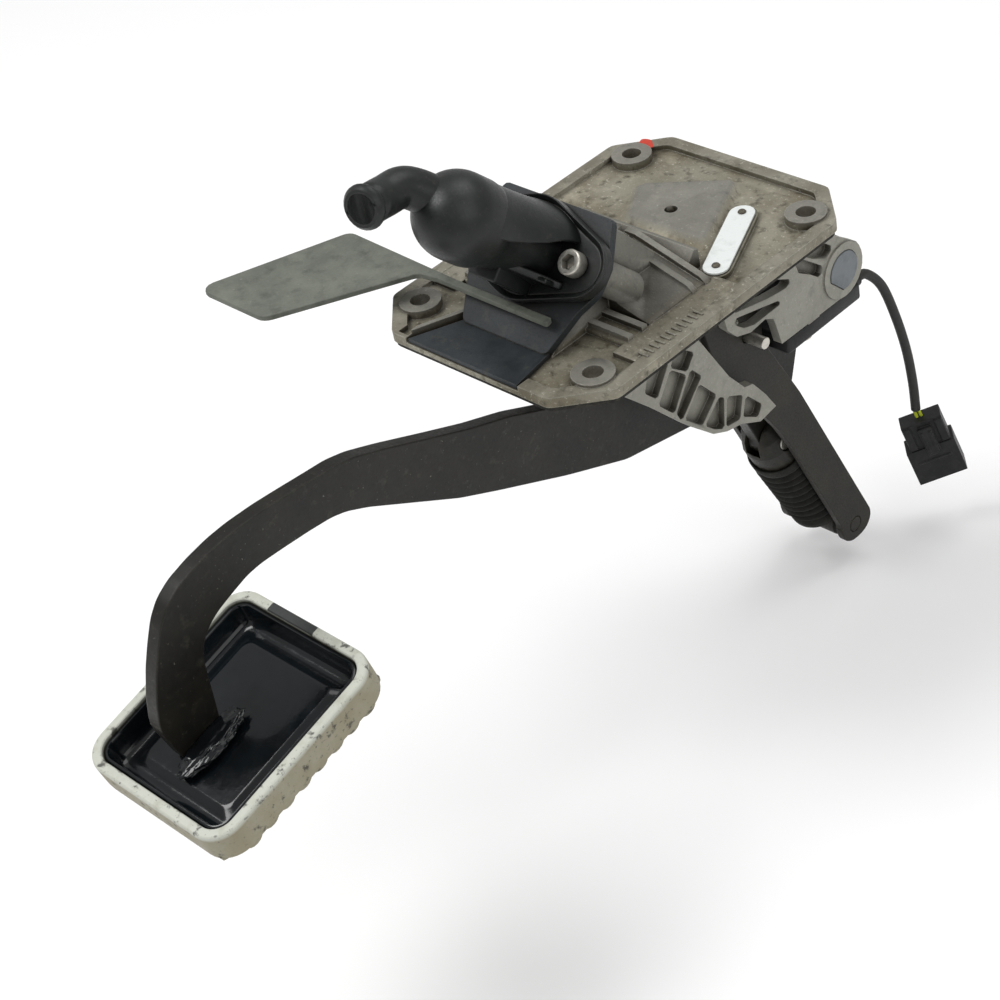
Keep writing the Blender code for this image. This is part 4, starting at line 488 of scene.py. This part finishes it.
CYL_TILT = radians(45.0)
CYL_O = Vector((0.0, -46.0, 38.5))
CYL_AXIS = Vector((0.0, -sin(CYL_TILT), cos(CYL_TILT)))
CYL_BACK = Vector((0.0, cos(CYL_TILT), sin(CYL_TILT)))
cyl_frame = frame_at(CYL_O, CYL_AXIS)
# moulded nylon, handled and dusty: charcoal with a soft sheen, khaki dust spots, rubbed edges, and painted shade
# in its hollows
elbow_nylon = surface("elbow_nylon", "#151817",
                      [("#242725", 16.0, 0.42, 0.66, 0.75), ("#44443b", 3.0, 0.60, 0.76, 0.6),
                       ("#121514", 7.0, 0.5, 0.7, 0.5)],
                      rough=0.4, rough_vary=0.1, grain=0.8, grain_depth=0.04, edge="#484a43", edge_width=0.6,
                      edge_gain=0.7, shade_and_grime="#090a0a", gloss=0.35)
LENS_TIP_X = 28.0
LENS_TIP_R = 13.5
LENS_SIDE_R = 22.6
LENS_THICK = 4.4
LENS_LIP_RISE = 2.2
LENS_LIP_WALL = 3.2
LENS_FLOOR_DROP = 2.8


def arc(cx, r, a0, a1, steps):
    # Points of a circle about (cx, 0) from one angle in degrees to another.
    turn = [radians(a0 + (a1 - a0) * i / steps) for i in range(steps + 1)]
    return [(cx + r * cos(a), r * sin(a)) for a in turn]


# the straight edges touch the middle circle and the tip circles, spread degrees off the quarter turn
step_in = LENS_SIDE_R - LENS_TIP_R
spread = 90.0 - atan2(sqrt(LENS_TIP_X ** 2 - step_in ** 2), step_in) * 180.0 / pi
lens = (arc(LENS_TIP_X, LENS_TIP_R, -90 + spread, 90 - spread, 14)
        + arc(0, LENS_SIDE_R, 90 - spread, 90 + spread, 6)
        + arc(-LENS_TIP_X, LENS_TIP_R, 90 + spread, 270 - spread, 14)
        + arc(0, LENS_SIDE_R, 270 - spread, 270 + spread, 6))
base = slab(lens, -LENS_THICK, 0.0, cyl_frame)
top_face = max(base.faces, key=lambda f: f.calc_center_median().dot(CYL_AXIS))
lip = bmesh.ops.extrude_face_region(base, geom=[top_face])
lip_verts = [v for v in lip["geom"] if isinstance(v, bmesh.types.BMVert)]
lip_face = [f for f in lip["geom"] if isinstance(f, bmesh.types.BMFace)][0]
bmesh.ops.translate(base, verts=lip_verts, vec=CYL_AXIS * LENS_LIP_RISE * MM)
bmesh.ops.inset_region(base, faces=[lip_face], thickness=LENS_LIP_WALL * MM, use_even_offset=True)
bmesh.ops.translate(base, verts=list(lip_face.verts), vec=CYL_AXIS * -LENS_FLOOR_DROP * MM)


def lofted(rings, matrix, caps=True):
    # Closed outlines in mm, each with its height, bridged in order.
    bm = bmesh.new()
    loops = []
    ends = []
    for outline, z in rings:
        ends.append([bm.verts.new((x * MM, y * MM, z * MM)) for x, y in outline])
        loops.append([bm.edges.new(pair) for pair in zip(ends[-1], ends[-1][1:] + ends[-1][:1])])
    for a, b in zip(loops, loops[1:]):
        bmesh.ops.bridge_loops(bm, edges=a + b)
    if caps:
        bm.faces.new(ends[0])
        bm.faces.new(ends[-1])
    bmesh.ops.transform(bm, matrix=matrix, verts=bm.verts)
    return bm


# the hood: height, half width, depth and the angle where its front edge starts
HOOD_WALL = 2.8
HOOD_STEPS = 36
HOOD_LEVELS = ((-1.0, 27.4, 20.0, 27.0), (3.0, 27.0, 19.8, 26.0), (9.0, 24.9, 19.0, 22.0),
               (16.0, 22.7, 18.4, 12.0), (25.0, 20.6, 18.0, 2.0), (34.0, 19.2, 17.9, -6.0),
               (42.0, 18.3, 17.9, -10.0))
hood_rings = []
for height, wide, deep, start in HOOD_LEVELS:
    sweep = [radians(start + (180.0 - 2 * start) * i / HOOD_STEPS) for i in range(HOOD_STEPS + 1)]
    ring = [(wide * cos(a), deep * sin(a)) for a in sweep]
    ring += [((wide - HOOD_WALL) * cos(a), (deep - HOOD_WALL) * sin(a)) for a in reversed(sweep)]
    hood_rings.append((ring, height))
hood = lofted(hood_rings, cyl_frame)
web_frame = Matrix((Vector((1, 0, 0)), CYL_AXIS, -CYL_BACK)).transposed().to_4x4()
web_frame.translation = CYL_O * MM
LOW_WEB = [(-23.8, -1.0), (23.8, -1.0), (23.8, 1.0), (12.0, 16.0), (4.0, 29.0), (-4.0, 29.0), (-12.0, 16.0),
           (-23.8, 1.0)]
LOW_WEB_BACK = (8.4, 11.6)
low_web = slab(LOW_WEB, *LOW_WEB_BACK, web_frame)
RIB_BOX = (-6.6, 8.6, -18.8, -8.0, -1.0, 22.6)
RIB_SIDE = (9.0, 22.0, -11.6, -9.4, -1.0, 9.0)
moulding = joined(base, hood, low_web, box(*RIB_BOX, cyl_frame), box(*RIB_SIDE, cyl_frame))
finished("elbow_flange_moulding", moulding, elbow_nylon, "bracket", ("elbow",), edge=0.9,
         segments=3)
DOME_R = 18.4
DOME_S = 48.0
dome_profile = [(DOME_R * sin(radians(a)), DOME_S + DOME_R * cos(radians(a))) for a in range(0, 91, 6)]
dome_profile += [(DOME_R, 39.0), (18.1, 36.6), (17.2, 34.0), (16.2, 31.4), (15.3, 28.0), (15.0, 22.0),
                 (15.2, 10.0), (15.8, 3.0), (16.6, -1.5), (0.0, -1.5)]
finished("elbow_dome", spun(dome_profile, cyl_frame, 72), elbow_nylon, "bracket")
# the spigot: it flares into the dome, and its radii from the mouth inwards make bead and groove
SPIGOT_ROUTE = ((-1.0, -82.0, 77.0), (-7.5, -88.5, 85.5), (-11.0, -95.2, 90.3), (-11.3, -104.0, 91.2),
                (-9.8, -112.0, 92.8), (-8.0, -119.0, 94.5))
SPIGOT_R = 8.2
SPIGOT_FLARE = 0.8
FLARE_STEPS = 20.0
BORE_R = 6.3
BORE_START = 6
MOUTH_REACH = 11.0
neck = smooth_route(SPIGOT_ROUTE, 8)
outer_r = [SPIGOT_R + SPIGOT_FLARE * max(0.0, 1 - k / FLARE_STEPS) for k in range(len(neck))]
for k, r in enumerate((7.7, 8.5, 9.2, 9.3, 9.0, 7.6, 7.3, 7.5, 8.0), 1):
    outer_r[-k] = r
spigot = joined(tube("outer", neck, outer_r, False, 12),
                tube("inner", neck[BORE_START:], [BORE_R] * len(neck[BORE_START:]), False, 12))
mouth = [e for e in spigot.edges if e.is_boundary and (e.verts[0].co / MM - neck[-1]).length < MOUTH_REACH]
bmesh.ops.bridge_loops(spigot, edges=mouth)
finished("elbow_spigot", spigot, elbow_nylon, "bracket")

# ---------------------------------------------------------------- elbow screws
# Two socket head screws of zinc plated steel hold the elbow's flange on the cylinder. Their hexagon
# sockets are darkened with painted shade.

# zinc plated steel: pale grey with a slightly warm cast, dull blotches, and painted shade in its hollows
zinc_steel = surface("zinc_plated_steel", "#c9c6bc",
                     [("#8d8a80", 4.0, 0.48, 0.7, 0.7), ("#5a564b", 1.5, 0.6, 0.74, 0.6)],
                     rough=0.38, metal=0.85, grain=0.4, grain_depth=0.04, shade_and_grime="#26221a", shade_and_grime_reach=4.0)
SCREW_X = 27.0
HEAD_TOP = 6.6
HEAD_PROFILE = [(3.7, HEAD_TOP), (4.9, HEAD_TOP), (5.3, 6.3), (5.5, 5.8), (5.5, 0.9), (5.2, 0.3), (3.7, 0.3),
                (3.7, -26.0), (0.0, -26.0)]
SOCKET_MOUTH_R = 3.7
SOCKET_FLAT = 3.05
HEX_TOP = 6.5
HEX_FLOOR = 2.6
DRILL_TIP = 1.9
SCREW_STEPS = 48
turns = [2 * pi * k / SCREW_STEPS for k in range(SCREW_STEPS)]
mouth_ring = [(SOCKET_MOUTH_R * cos(a), SOCKET_MOUTH_R * sin(a)) for a in turns]
hexagon = []
for a in turns:
    r = SOCKET_FLAT / cos((a % (pi / 3)) - pi / 6)
    hexagon.append((r * cos(a), r * sin(a)))
socket_rings = [(mouth_ring, HEAD_TOP), (hexagon, HEX_TOP), (hexagon, HEX_FLOOR)]
for sx, tag in ((-1, "left"), (1, "right")):
    at = frame_at(CYL_O + Vector((SCREW_X * sx, 0.0, 0.0)), CYL_AXIS)
    socket = lofted(socket_rings, at, False)
    to_head = at.inverted()
    floor_edges = [e for e in socket.edges
                   if e.is_boundary and (to_head @ e.verts[0].co).z < (HEX_FLOOR + 1.0) * MM]
    tip = bmesh.ops.extrude_edge_only(socket, edges=floor_edges)
    tip_verts = [v for v in tip["geom"] if isinstance(v, bmesh.types.BMVert)]
    bmesh.ops.pointmerge(socket, verts=tip_verts, merge_co=at @ Vector((0.0, 0.0, DRILL_TIP * MM)))
    screw = joined(spun(HEAD_PROFILE, at, SCREW_STEPS), socket)
    bmesh.ops.remove_doubles(screw, verts=screw.verts, dist=0.00001)
    finished("elbow_screw_" + tag + "_head", screw, zinc_steel, "bracket", ("elbow_screw_" + tag,))

# ---------------------------------------------------------------- rubber flap
# A flat sheet of grey rubber, cut with a blade: a narrow band under the elbow that widens into a
# slanting blade. Its top is dusty and its cut edges are darker.

# dusty sheet rubber: grey-green with a pale film, darker scuffs and specks
flap_rubber = surface("flap_sheet_rubber", "#585b53",
                      [("#6f7268", 22.0, 0.40, 0.66, 0.8), ("#43463f", 7.0, 0.52, 0.72, 0.7),
                       ("#85877b", 2.2, 0.62, 0.76, 0.5)],
                      rough=0.8, grain=1.0, grain_depth=0.1, edge="#3a3c36", edge_width=0.5, edge_gain=0.9)
dressed("rubber_flap", flap_rubber, "bracket", edge=0.4)

# ---------------------------------------------------------------- pivot, shaft and plugs
# A steel shaft runs through both pivot bosses; each end sits in a grey acetal plug with one flat, and
# the hub turns on it in two acetal bushes.

# grey acetal: smooth cool grey plastic with a slight wax sheen and dust
acetal = surface("grey_acetal", "#666c70",
                 [("#4b5054", 9.0, 0.45, 0.7, 0.7), ("#8a8f92", 2.0, 0.62, 0.76, 0.5)],
                 rough=0.45, grain=0.8, grain_depth=0.03, edge="#3f454a", edge_width=0.7)
for tag in ("left", "right"):
    dressed("pivot_plug_" + tag, acetal, "bracket", edge=0.4)
for tag in ("left", "right"):
    dressed("hub_bush_" + tag, acetal, "pedal")
dressed("pivot_shaft", zinc_steel, "bracket", edge=0.4)

# ---------------------------------------------------------------- pedal arm and hub
# A 7 mm steel plate, cut and pressed to a swan neck, welded to its hub tube and painted satin black.
# The paint is dusty brown-grey on top, chipped and rubbed along the edges.

# a plate's outline corner is an edge that runs straight across its thickness
CORNER_LEAST = 2.5
CORNER_SLANT = 0.02


def rounded(node, mat, body, reach, wanted, edge):
    # A plate's copy whose outline corners, where wanted, are rounded over that many mm.
    bm = merged(node)
    corners = []
    for e in bm.edges:
        a, b = e.verts[0].co, e.verts[1].co
        slant = abs(a.y - b.y) + abs(a.z - b.z)
        if abs(a.x - b.x) > CORNER_LEAST * MM and slant < CORNER_SLANT * MM and wanted(a / MM):
            corners.append(e)
    bmesh.ops.bevel(bm, geom=corners, offset=reach * MM, offset_type="OFFSET", segments=5, profile=0.5,
                    affect="EDGES", clamp_overlap=True, material=-1)
    return finished(node + "_dressed", bm, mat, body, (node,), 55.0, edge)


# satin black paint on steel: soft brown-black, dusty, with grey rubbed edges and small pale chips
black_paint = surface("satin_black_paint", "#12110e",
                      [("#211f19", 30.0, 0.40, 0.66, 0.8), ("#141412", 12.0, 0.5, 0.7, 0.6),
                       ("#77746a", 1.6, 0.66, 0.76, 0.9), ("#3f3d35", 5.0, 0.58, 0.76, 0.5)],
                      rough=0.42, rough_vary=0.1, grain=1.4, grain_depth=0.05, edge="#5a584f", edge_width=0.8,
                      edge_gain=0.7, gloss=0.28)
ARM_ROUNDING = 9.0
HUB_SIDE_Y = 15.0
rounded("pedal_arm", black_paint, "pedal", ARM_ROUNDING, lambda c: c.y < HUB_SIDE_Y, 0.7)
dressed("pivot_tube", black_paint, "pedal", edge=0.4)

# ---------------------------------------------------------------- foot pad
# A pressed steel tray in thick gloss black enamel, welded to the arm, with a moulded rubber cover
# gripping it. The cover's lip is worn to off-white, its sides are mottled black with moulded treads.

PAD_W = 85.0
PAD_L = 95.0
PAD_CORNER = 13.0
CORNER_STEPS = 10
PAD_TILT = radians(15.0)
PAD_PLACE = (9.3, -248.3, -56.4)
PAD = frame_at(PAD_PLACE, (0.0, -sin(PAD_TILT), cos(PAD_TILT)))
PAD_SIDE, PAD_AHEAD, PAD_UP = [tuple(PAD.col[i][:3]) for i in range(3)]
PAD_LEVEL = PAD.translation.dot(Vector(PAD_UP)) / MM
PAD_FAR = PAD.translation.dot(Vector(PAD_AHEAD)) / MM + PAD_L / 2


def rounded_rect(inset, corner):
    # The pad's outline, drawn in by inset, with that corner radius.
    w = PAD_W / 2 - inset - corner
    h = PAD_L / 2 - inset - corner
    points = []
    for cx, cy, a0 in ((w, -h, -90), (w, h, 0), (-w, h, 90), (-w, -h, 180)):
        turn = [radians(a0 + 90 * i / CORNER_STEPS) for i in range(CORNER_STEPS + 1)]
        points += [(cx + corner * cos(a), cy + corner * sin(a)) for a in turn]
    return points


# the sides are duller than the lip, and one stretch of the far lip has lost its pale film
SIDE_SHADE = (PAD_UP, PAD_LEVEL - 1.0, PAD_LEVEL - 2.6, "#827a60", 0.92)
BARE_STRETCH = ((PAD_SIDE, 2.8, 13.5), (PAD_AHEAD, PAD_FAR - 2.3, 2.2), "#2a2d2b")
# worn pad rubber: chalky off-white where shoes polished it, black blotches and grey smears between, and painted
# shade in its hollows
pad_rubber = surface("worn_pad_rubber", "#b9bbb0",
                     [("#c9ccc3", 24.0, 0.42, 0.6, 0.15), ("#8b8874", 9.0, 0.50, 0.68, 0.35),
                      ("#2c2b25", 6.0, 0.575, 0.65, 0.85), ("#3a382f", 2.0, 0.61, 0.70, 0.8)],
                     rough=0.62, grain=0.8, grain_depth=0.1, slopes=(SIDE_SHADE,), slopes_first=True,
                     window=BARE_STRETCH, shade_and_grime="#1c1b15", shade_and_grime_reach=5.0)
LIP = 4.6
COVER_FLOOR = -13.6
# inset, corner radius and height of each ring of the cover, from its underside over the lip and in
COVER_RINGS = ((1.4, 11.6, -15.8), (0.3, 12.7, -14.8), (0.0, PAD_CORNER, -12.0), (0.0, PAD_CORNER, -1.4),
               (0.25, 12.75, -0.45), (0.9, 12.1, 0.0), (LIP - 0.7, 9.1, 0.0), (LIP - 0.2, 8.6, -0.4),
               (LIP, 8.4, -1.2), (LIP, 8.4, COVER_FLOOR))
cover = lofted([(rounded_rect(inset, corner), z) for inset, corner, z in COVER_RINGS], PAD)
TREAD_COUNT = 10
TREAD_PITCH = 9.5
TREAD_PROFILE = ((-3.9, COVER_FLOOR), (-3.4, -15.9), (-1.8, -16.9), (0.0, -17.2), (1.8, -16.9), (3.4, -15.9),
                 (3.9, COVER_FLOOR))
TREAD_INSET = 1.0
END_TREAD_INSET = 7.0
tread_frame = PAD @ Matrix(((0, 0, 1, 0), (1, 0, 0, 0), (0, 1, 0, 0), (0, 0, 0, 1)))
treads = []
for k in range(TREAD_COUNT):
    y = -PAD_L / 2 + TREAD_PITCH * (k + 0.5)
    half = PAD_W / 2 - (END_TREAD_INSET if k in (0, TREAD_COUNT - 1) else TREAD_INSET)
    treads.append(slab([(y + dy, z) for dy, z in TREAD_PROFILE], -half, half,
                       tread_frame))
finished("pad_cover_rubber", joined(cover, *treads), pad_rubber, "pedal", ("pad_cover",),
         angle=24.0, edge=0.15)
# thick gloss enamel: deep blue-black, with a thin coat over brushed-out dips, a few dusty spots
gloss_enamel = surface("gloss_black_enamel", "#080b0d",
                       [("#10161a", 30.0, 0.4, 0.65, 0.8), ("#2c3032", 3.0, 0.66, 0.78, 0.5)],
                       rough=0.16, rough_vary=0.05, grain=6.0, grain_depth=0.12, coat=0.25, gloss=0.3)
# inset inside the lip, corner radius and height of each ring of the tray, from its foot over and in
TRAY_RINGS = ((0.3, 8.1, -13.9), (0.3, 8.1, -2.4), (0.8, 7.6, -1.4), (1.9, 6.5, -1.3), (2.5, 5.9, -2.2),
              (3.0, 5.4, -9.6), (4.4, 4.2, -11.4), (6.6, 4.0, -11.8), (9.0, 4.0, -11.6), (11.4, 4.0, -9.4),
              (13.0, 4.0, -9.2))
tray = lofted([(rounded_rect(LIP + inset, corner), z) for inset, corner, z in TRAY_RINGS], PAD)
finished("pad_tray_enamel", tray, gloss_enamel, "pedal", ("pad_tray",), angle=60.0)
# the weld's bead under the enamel: a flat lump along the arm's right side
BEAD_HALF = Vector((6.8, 17.6, 2.6))
BEAD_PLACE = Vector((-0.35, -13.0, -6.1))
bead = bmesh.new()
bmesh.ops.create_icosphere(bead, subdivisions=5, radius=1.0)
for v in bead.verts:
    lump = 1.0 + 0.16 * noise.noise(v.co * 3.1) + 0.07 * noise.noise(v.co * 9.0)
    v.co = v.co * BEAD_HALF * lump * MM
bmesh.ops.transform(bead, matrix=PAD @ Matrix.Translation(BEAD_PLACE * MM), verts=bead.verts)
finished("weld_bead_enamel", bead, gloss_enamel, "pedal", ("weld_bead",), angle=80.0)

# ---------------------------------------------------------------- push rod, clevis and piston
# A zinc plated rod with a ball end sits in the plastic piston; a black steel clevis and pin join it
# to the arm, and a spring clip keeps the pin.

dressed("push_rod", zinc_steel, "rod", edge=0.2)
dressed("rod_clevis", black_paint, "rod")
dressed("clevis_pin", zinc_steel, "rod", edge=0.2)
# oiled spring steel: dark grey with browner oily patches and a thin sheen
spring_steel = surface("oiled_spring_steel", "#3c3d3c", [("#24221d", 3.0, 0.45, 0.7, 0.7)], rough=0.35,
                       metal=0.8, grain=0.5)
dressed("clevis_clip", spring_steel, "rod")
dressed("piston", elbow_nylon, "piston", edge=0.2)

# ---------------------------------------------------------------- assist spring
# A coil inside folded rubber bellows between a forked nylon cup at the lever and a nylon foot on the
# legs' pin. The bellows have nine soft folds, black and dusty.

FOOT = Vector((0.0, 118.0, -212.5))
TOP = Vector((0.0, 82.0, -140.5))
strut = TOP - FOOT
strut_way = strut.normalized()
strut_frame = frame_at(FOOT, strut)
# dark nylon of the cup and foot: brown-black satin, dusty in patches, with rubbed edges
cup_nylon = surface("cup_nylon", "#1d1c17",
                    [("#322f27", 8.0, 0.44, 0.7, 0.7), ("#4a463a", 2.0, 0.62, 0.76, 0.5)],
                    rough=0.5, grain=0.8, grain_depth=0.05, edge="#4a473f", edge_width=0.6, gloss=0.3)
dressed("spring_foot", cup_nylon, "spring_base")
dressed("spring_cup", cup_nylon, "spring_cap", edge=0.4)
dressed("spring_pin_upper", zinc_steel, "spring_cap", edge=0.4)
# the bellows' wall: collar on the cup, folds, collar on the foot, and back up inside
FOLD_COUNT = 9
FOLD_LOW = 15.6
FOLD_HIGH = 61.0
VALLEY_R = 12.9
FOLD_DEPTH = 2.4
INSIDE_R = 12.3
COLLAR_R = 13.95
bellow = [(14.8, 68.4), (15.1, 67.8), (15.1, 64.2), (14.6, 62.4)]
for k in range(FOLD_COUNT * 10 + 1):
    t = k / (FOLD_COUNT * 10.0)
    wave = 0.5 - 0.5 * cos(2 * pi * FOLD_COUNT * t)
    bellow.append((VALLEY_R + FOLD_DEPTH * wave ** 0.7, FOLD_HIGH - (FOLD_HIGH - FOLD_LOW) * t))
bellow += [(14.8, 13.4), (15.0, 12.6), (15.0, 9.9), (14.3, 9.5), (COLLAR_R, 9.5), (COLLAR_R, 13.4)]
for k in range(FOLD_COUNT * 4, -1, -1):
    bellow.append((INSIDE_R, FOLD_HIGH - (FOLD_HIGH - FOLD_LOW) * k / (FOLD_COUNT * 4.0)))
bellow += [(COLLAR_R, 63.0), (COLLAR_R, 68.2), (14.8, 68.4)]
bellows = spun(bellow, strut_frame, 72)
# the folds wander a little up and down, the collars don't
FOLD_WANDER = 0.5
WANDER_FROM = 14.0
WANDER_TO = 62.0
to_strut = strut_frame.inverted()
for v in bellows.verts:
    if WANDER_FROM * MM < (to_strut @ v.co).z < WANDER_TO * MM:
        v.co += strut_way * noise.noise(v.co * 90.0) * FOLD_WANDER * MM
bellows_piece = finished("spring_bellows_rubber", bellows, black_rubber, "spring_base",
                         ("spring_bellows",), angle=70.0)
COIL_TURNS = 6
COIL_R = 10.4
WIRE_R = 1.4
COIL_FOOT = 14.7
CUP_REACH = 17.0
COIL_SEAT = 1.7
COIL_RISE = strut.length - CUP_REACH - COIL_SEAT - COIL_FOOT
TURN_STEPS = 32
CLOSED_ENDS = 0.05
coil_points = []
for i in range(COIL_TURNS * TURN_STEPS + 1):
    t = i / float(COIL_TURNS * TURN_STEPS)
    a = 2 * pi * COIL_TURNS * t
    rise = COIL_FOOT + COIL_RISE * (t - sin(2 * pi * t) * CLOSED_ENDS)
    coil_points.append((strut_frame @ (Vector((COIL_R * cos(a), COIL_R * sin(a), rise)) * MM)) / MM)
coil = tube("coil", coil_points, [WIRE_R] * len(coil_points), True, 3)
coil_piece = finished("assist_spring_coil", coil, spring_steel, "spring_base",
                      ("assist_spring",))
for piece in (bellows_piece, coil_piece):
    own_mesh(piece)

# ---------------------------------------------------------------- spring legs and studs
# Two flat steel legs, painted black, bolted to the casting's lugs, carry the foot pin of the spring.
# The pin ends flush with the legs' outer faces.

# black paint on the legs, browner with road dirt, edges rubbed
leg_paint = surface("leg_black_paint", "#17150f",
                    [("#26231a", 24.0, 0.40, 0.66, 0.8), ("#191814", 8.0, 0.5, 0.7, 0.7),
                     ("#777264", 1.6, 0.67, 0.78, 0.8)],
                    rough=0.5, grain=1.0, grain_depth=0.06, edge="#5c584d", edge_width=0.7, edge_gain=0.7,
                    gloss=0.3)
LEG_ROUNDING = 5.0
LEG_ROUND_BELOW = -150.0
PIN_HOLE_REACH = 7.0


def leg_corner(c):
    # The corners of a leg's lower outline, without those of the pin's hole.
    return c.z < LEG_ROUND_BELOW and (Vector((0.0, c.y, c.z)) - FOOT).length > PIN_HOLE_REACH


for tag in ("left", "right"):
    rounded("spring_leg_" + tag, leg_paint, "bracket", LEG_ROUNDING, leg_corner, 0.5)
    for k in (1, 2):
        dressed("leg_stud_%s_%d" % (tag, k), zinc_steel, "bracket", edge=0.4)
LEG_END_Z = -190.0
PIN_CHAMFER = 0.3
leg_verts = [v.co / MM for v in nodes["spring_leg_right"].data.vertices]
pin_verts = [v.co / MM for v in nodes["spring_pin_lower"].data.vertices]
pin_half = max(abs(c.x) for c in leg_verts if c.z < LEG_END_Z)
pin_r = min(r for r in ((Vector((0.0, c.y, c.z)) - FOOT).length for c in pin_verts) if r > 1.0)
pin_profile = [(0.0, pin_half), (pin_r - PIN_CHAMFER, pin_half), (pin_r, pin_half - PIN_CHAMFER),
               (pin_r, PIN_CHAMFER - pin_half), (pin_r - PIN_CHAMFER, -pin_half), (0.0, -pin_half)]
pin = spun(pin_profile, frame_at(FOOT, (1.0, 0.0, 0.0), (0.0, 1.0, 0.0)), 40)
finished("spring_pin_lower_flush", pin, leg_paint, "bracket", ("spring_pin_lower",))

# ---------------------------------------------------------------- position sensor
# A flat housing of black moulded plastic under the right wall, which reads the pedal's position. One
# plated screw holds it, and its gland holds the cable.

dressed("sensor_housing", connector_nylon, "bracket", angle=30.0)
dressed("sensor_screw", zinc_steel, "bracket", edge=0.3)

size = {"cad": [list(map(float, p)) for p in cad_box], "visual": [list(map(float, p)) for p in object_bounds()]}
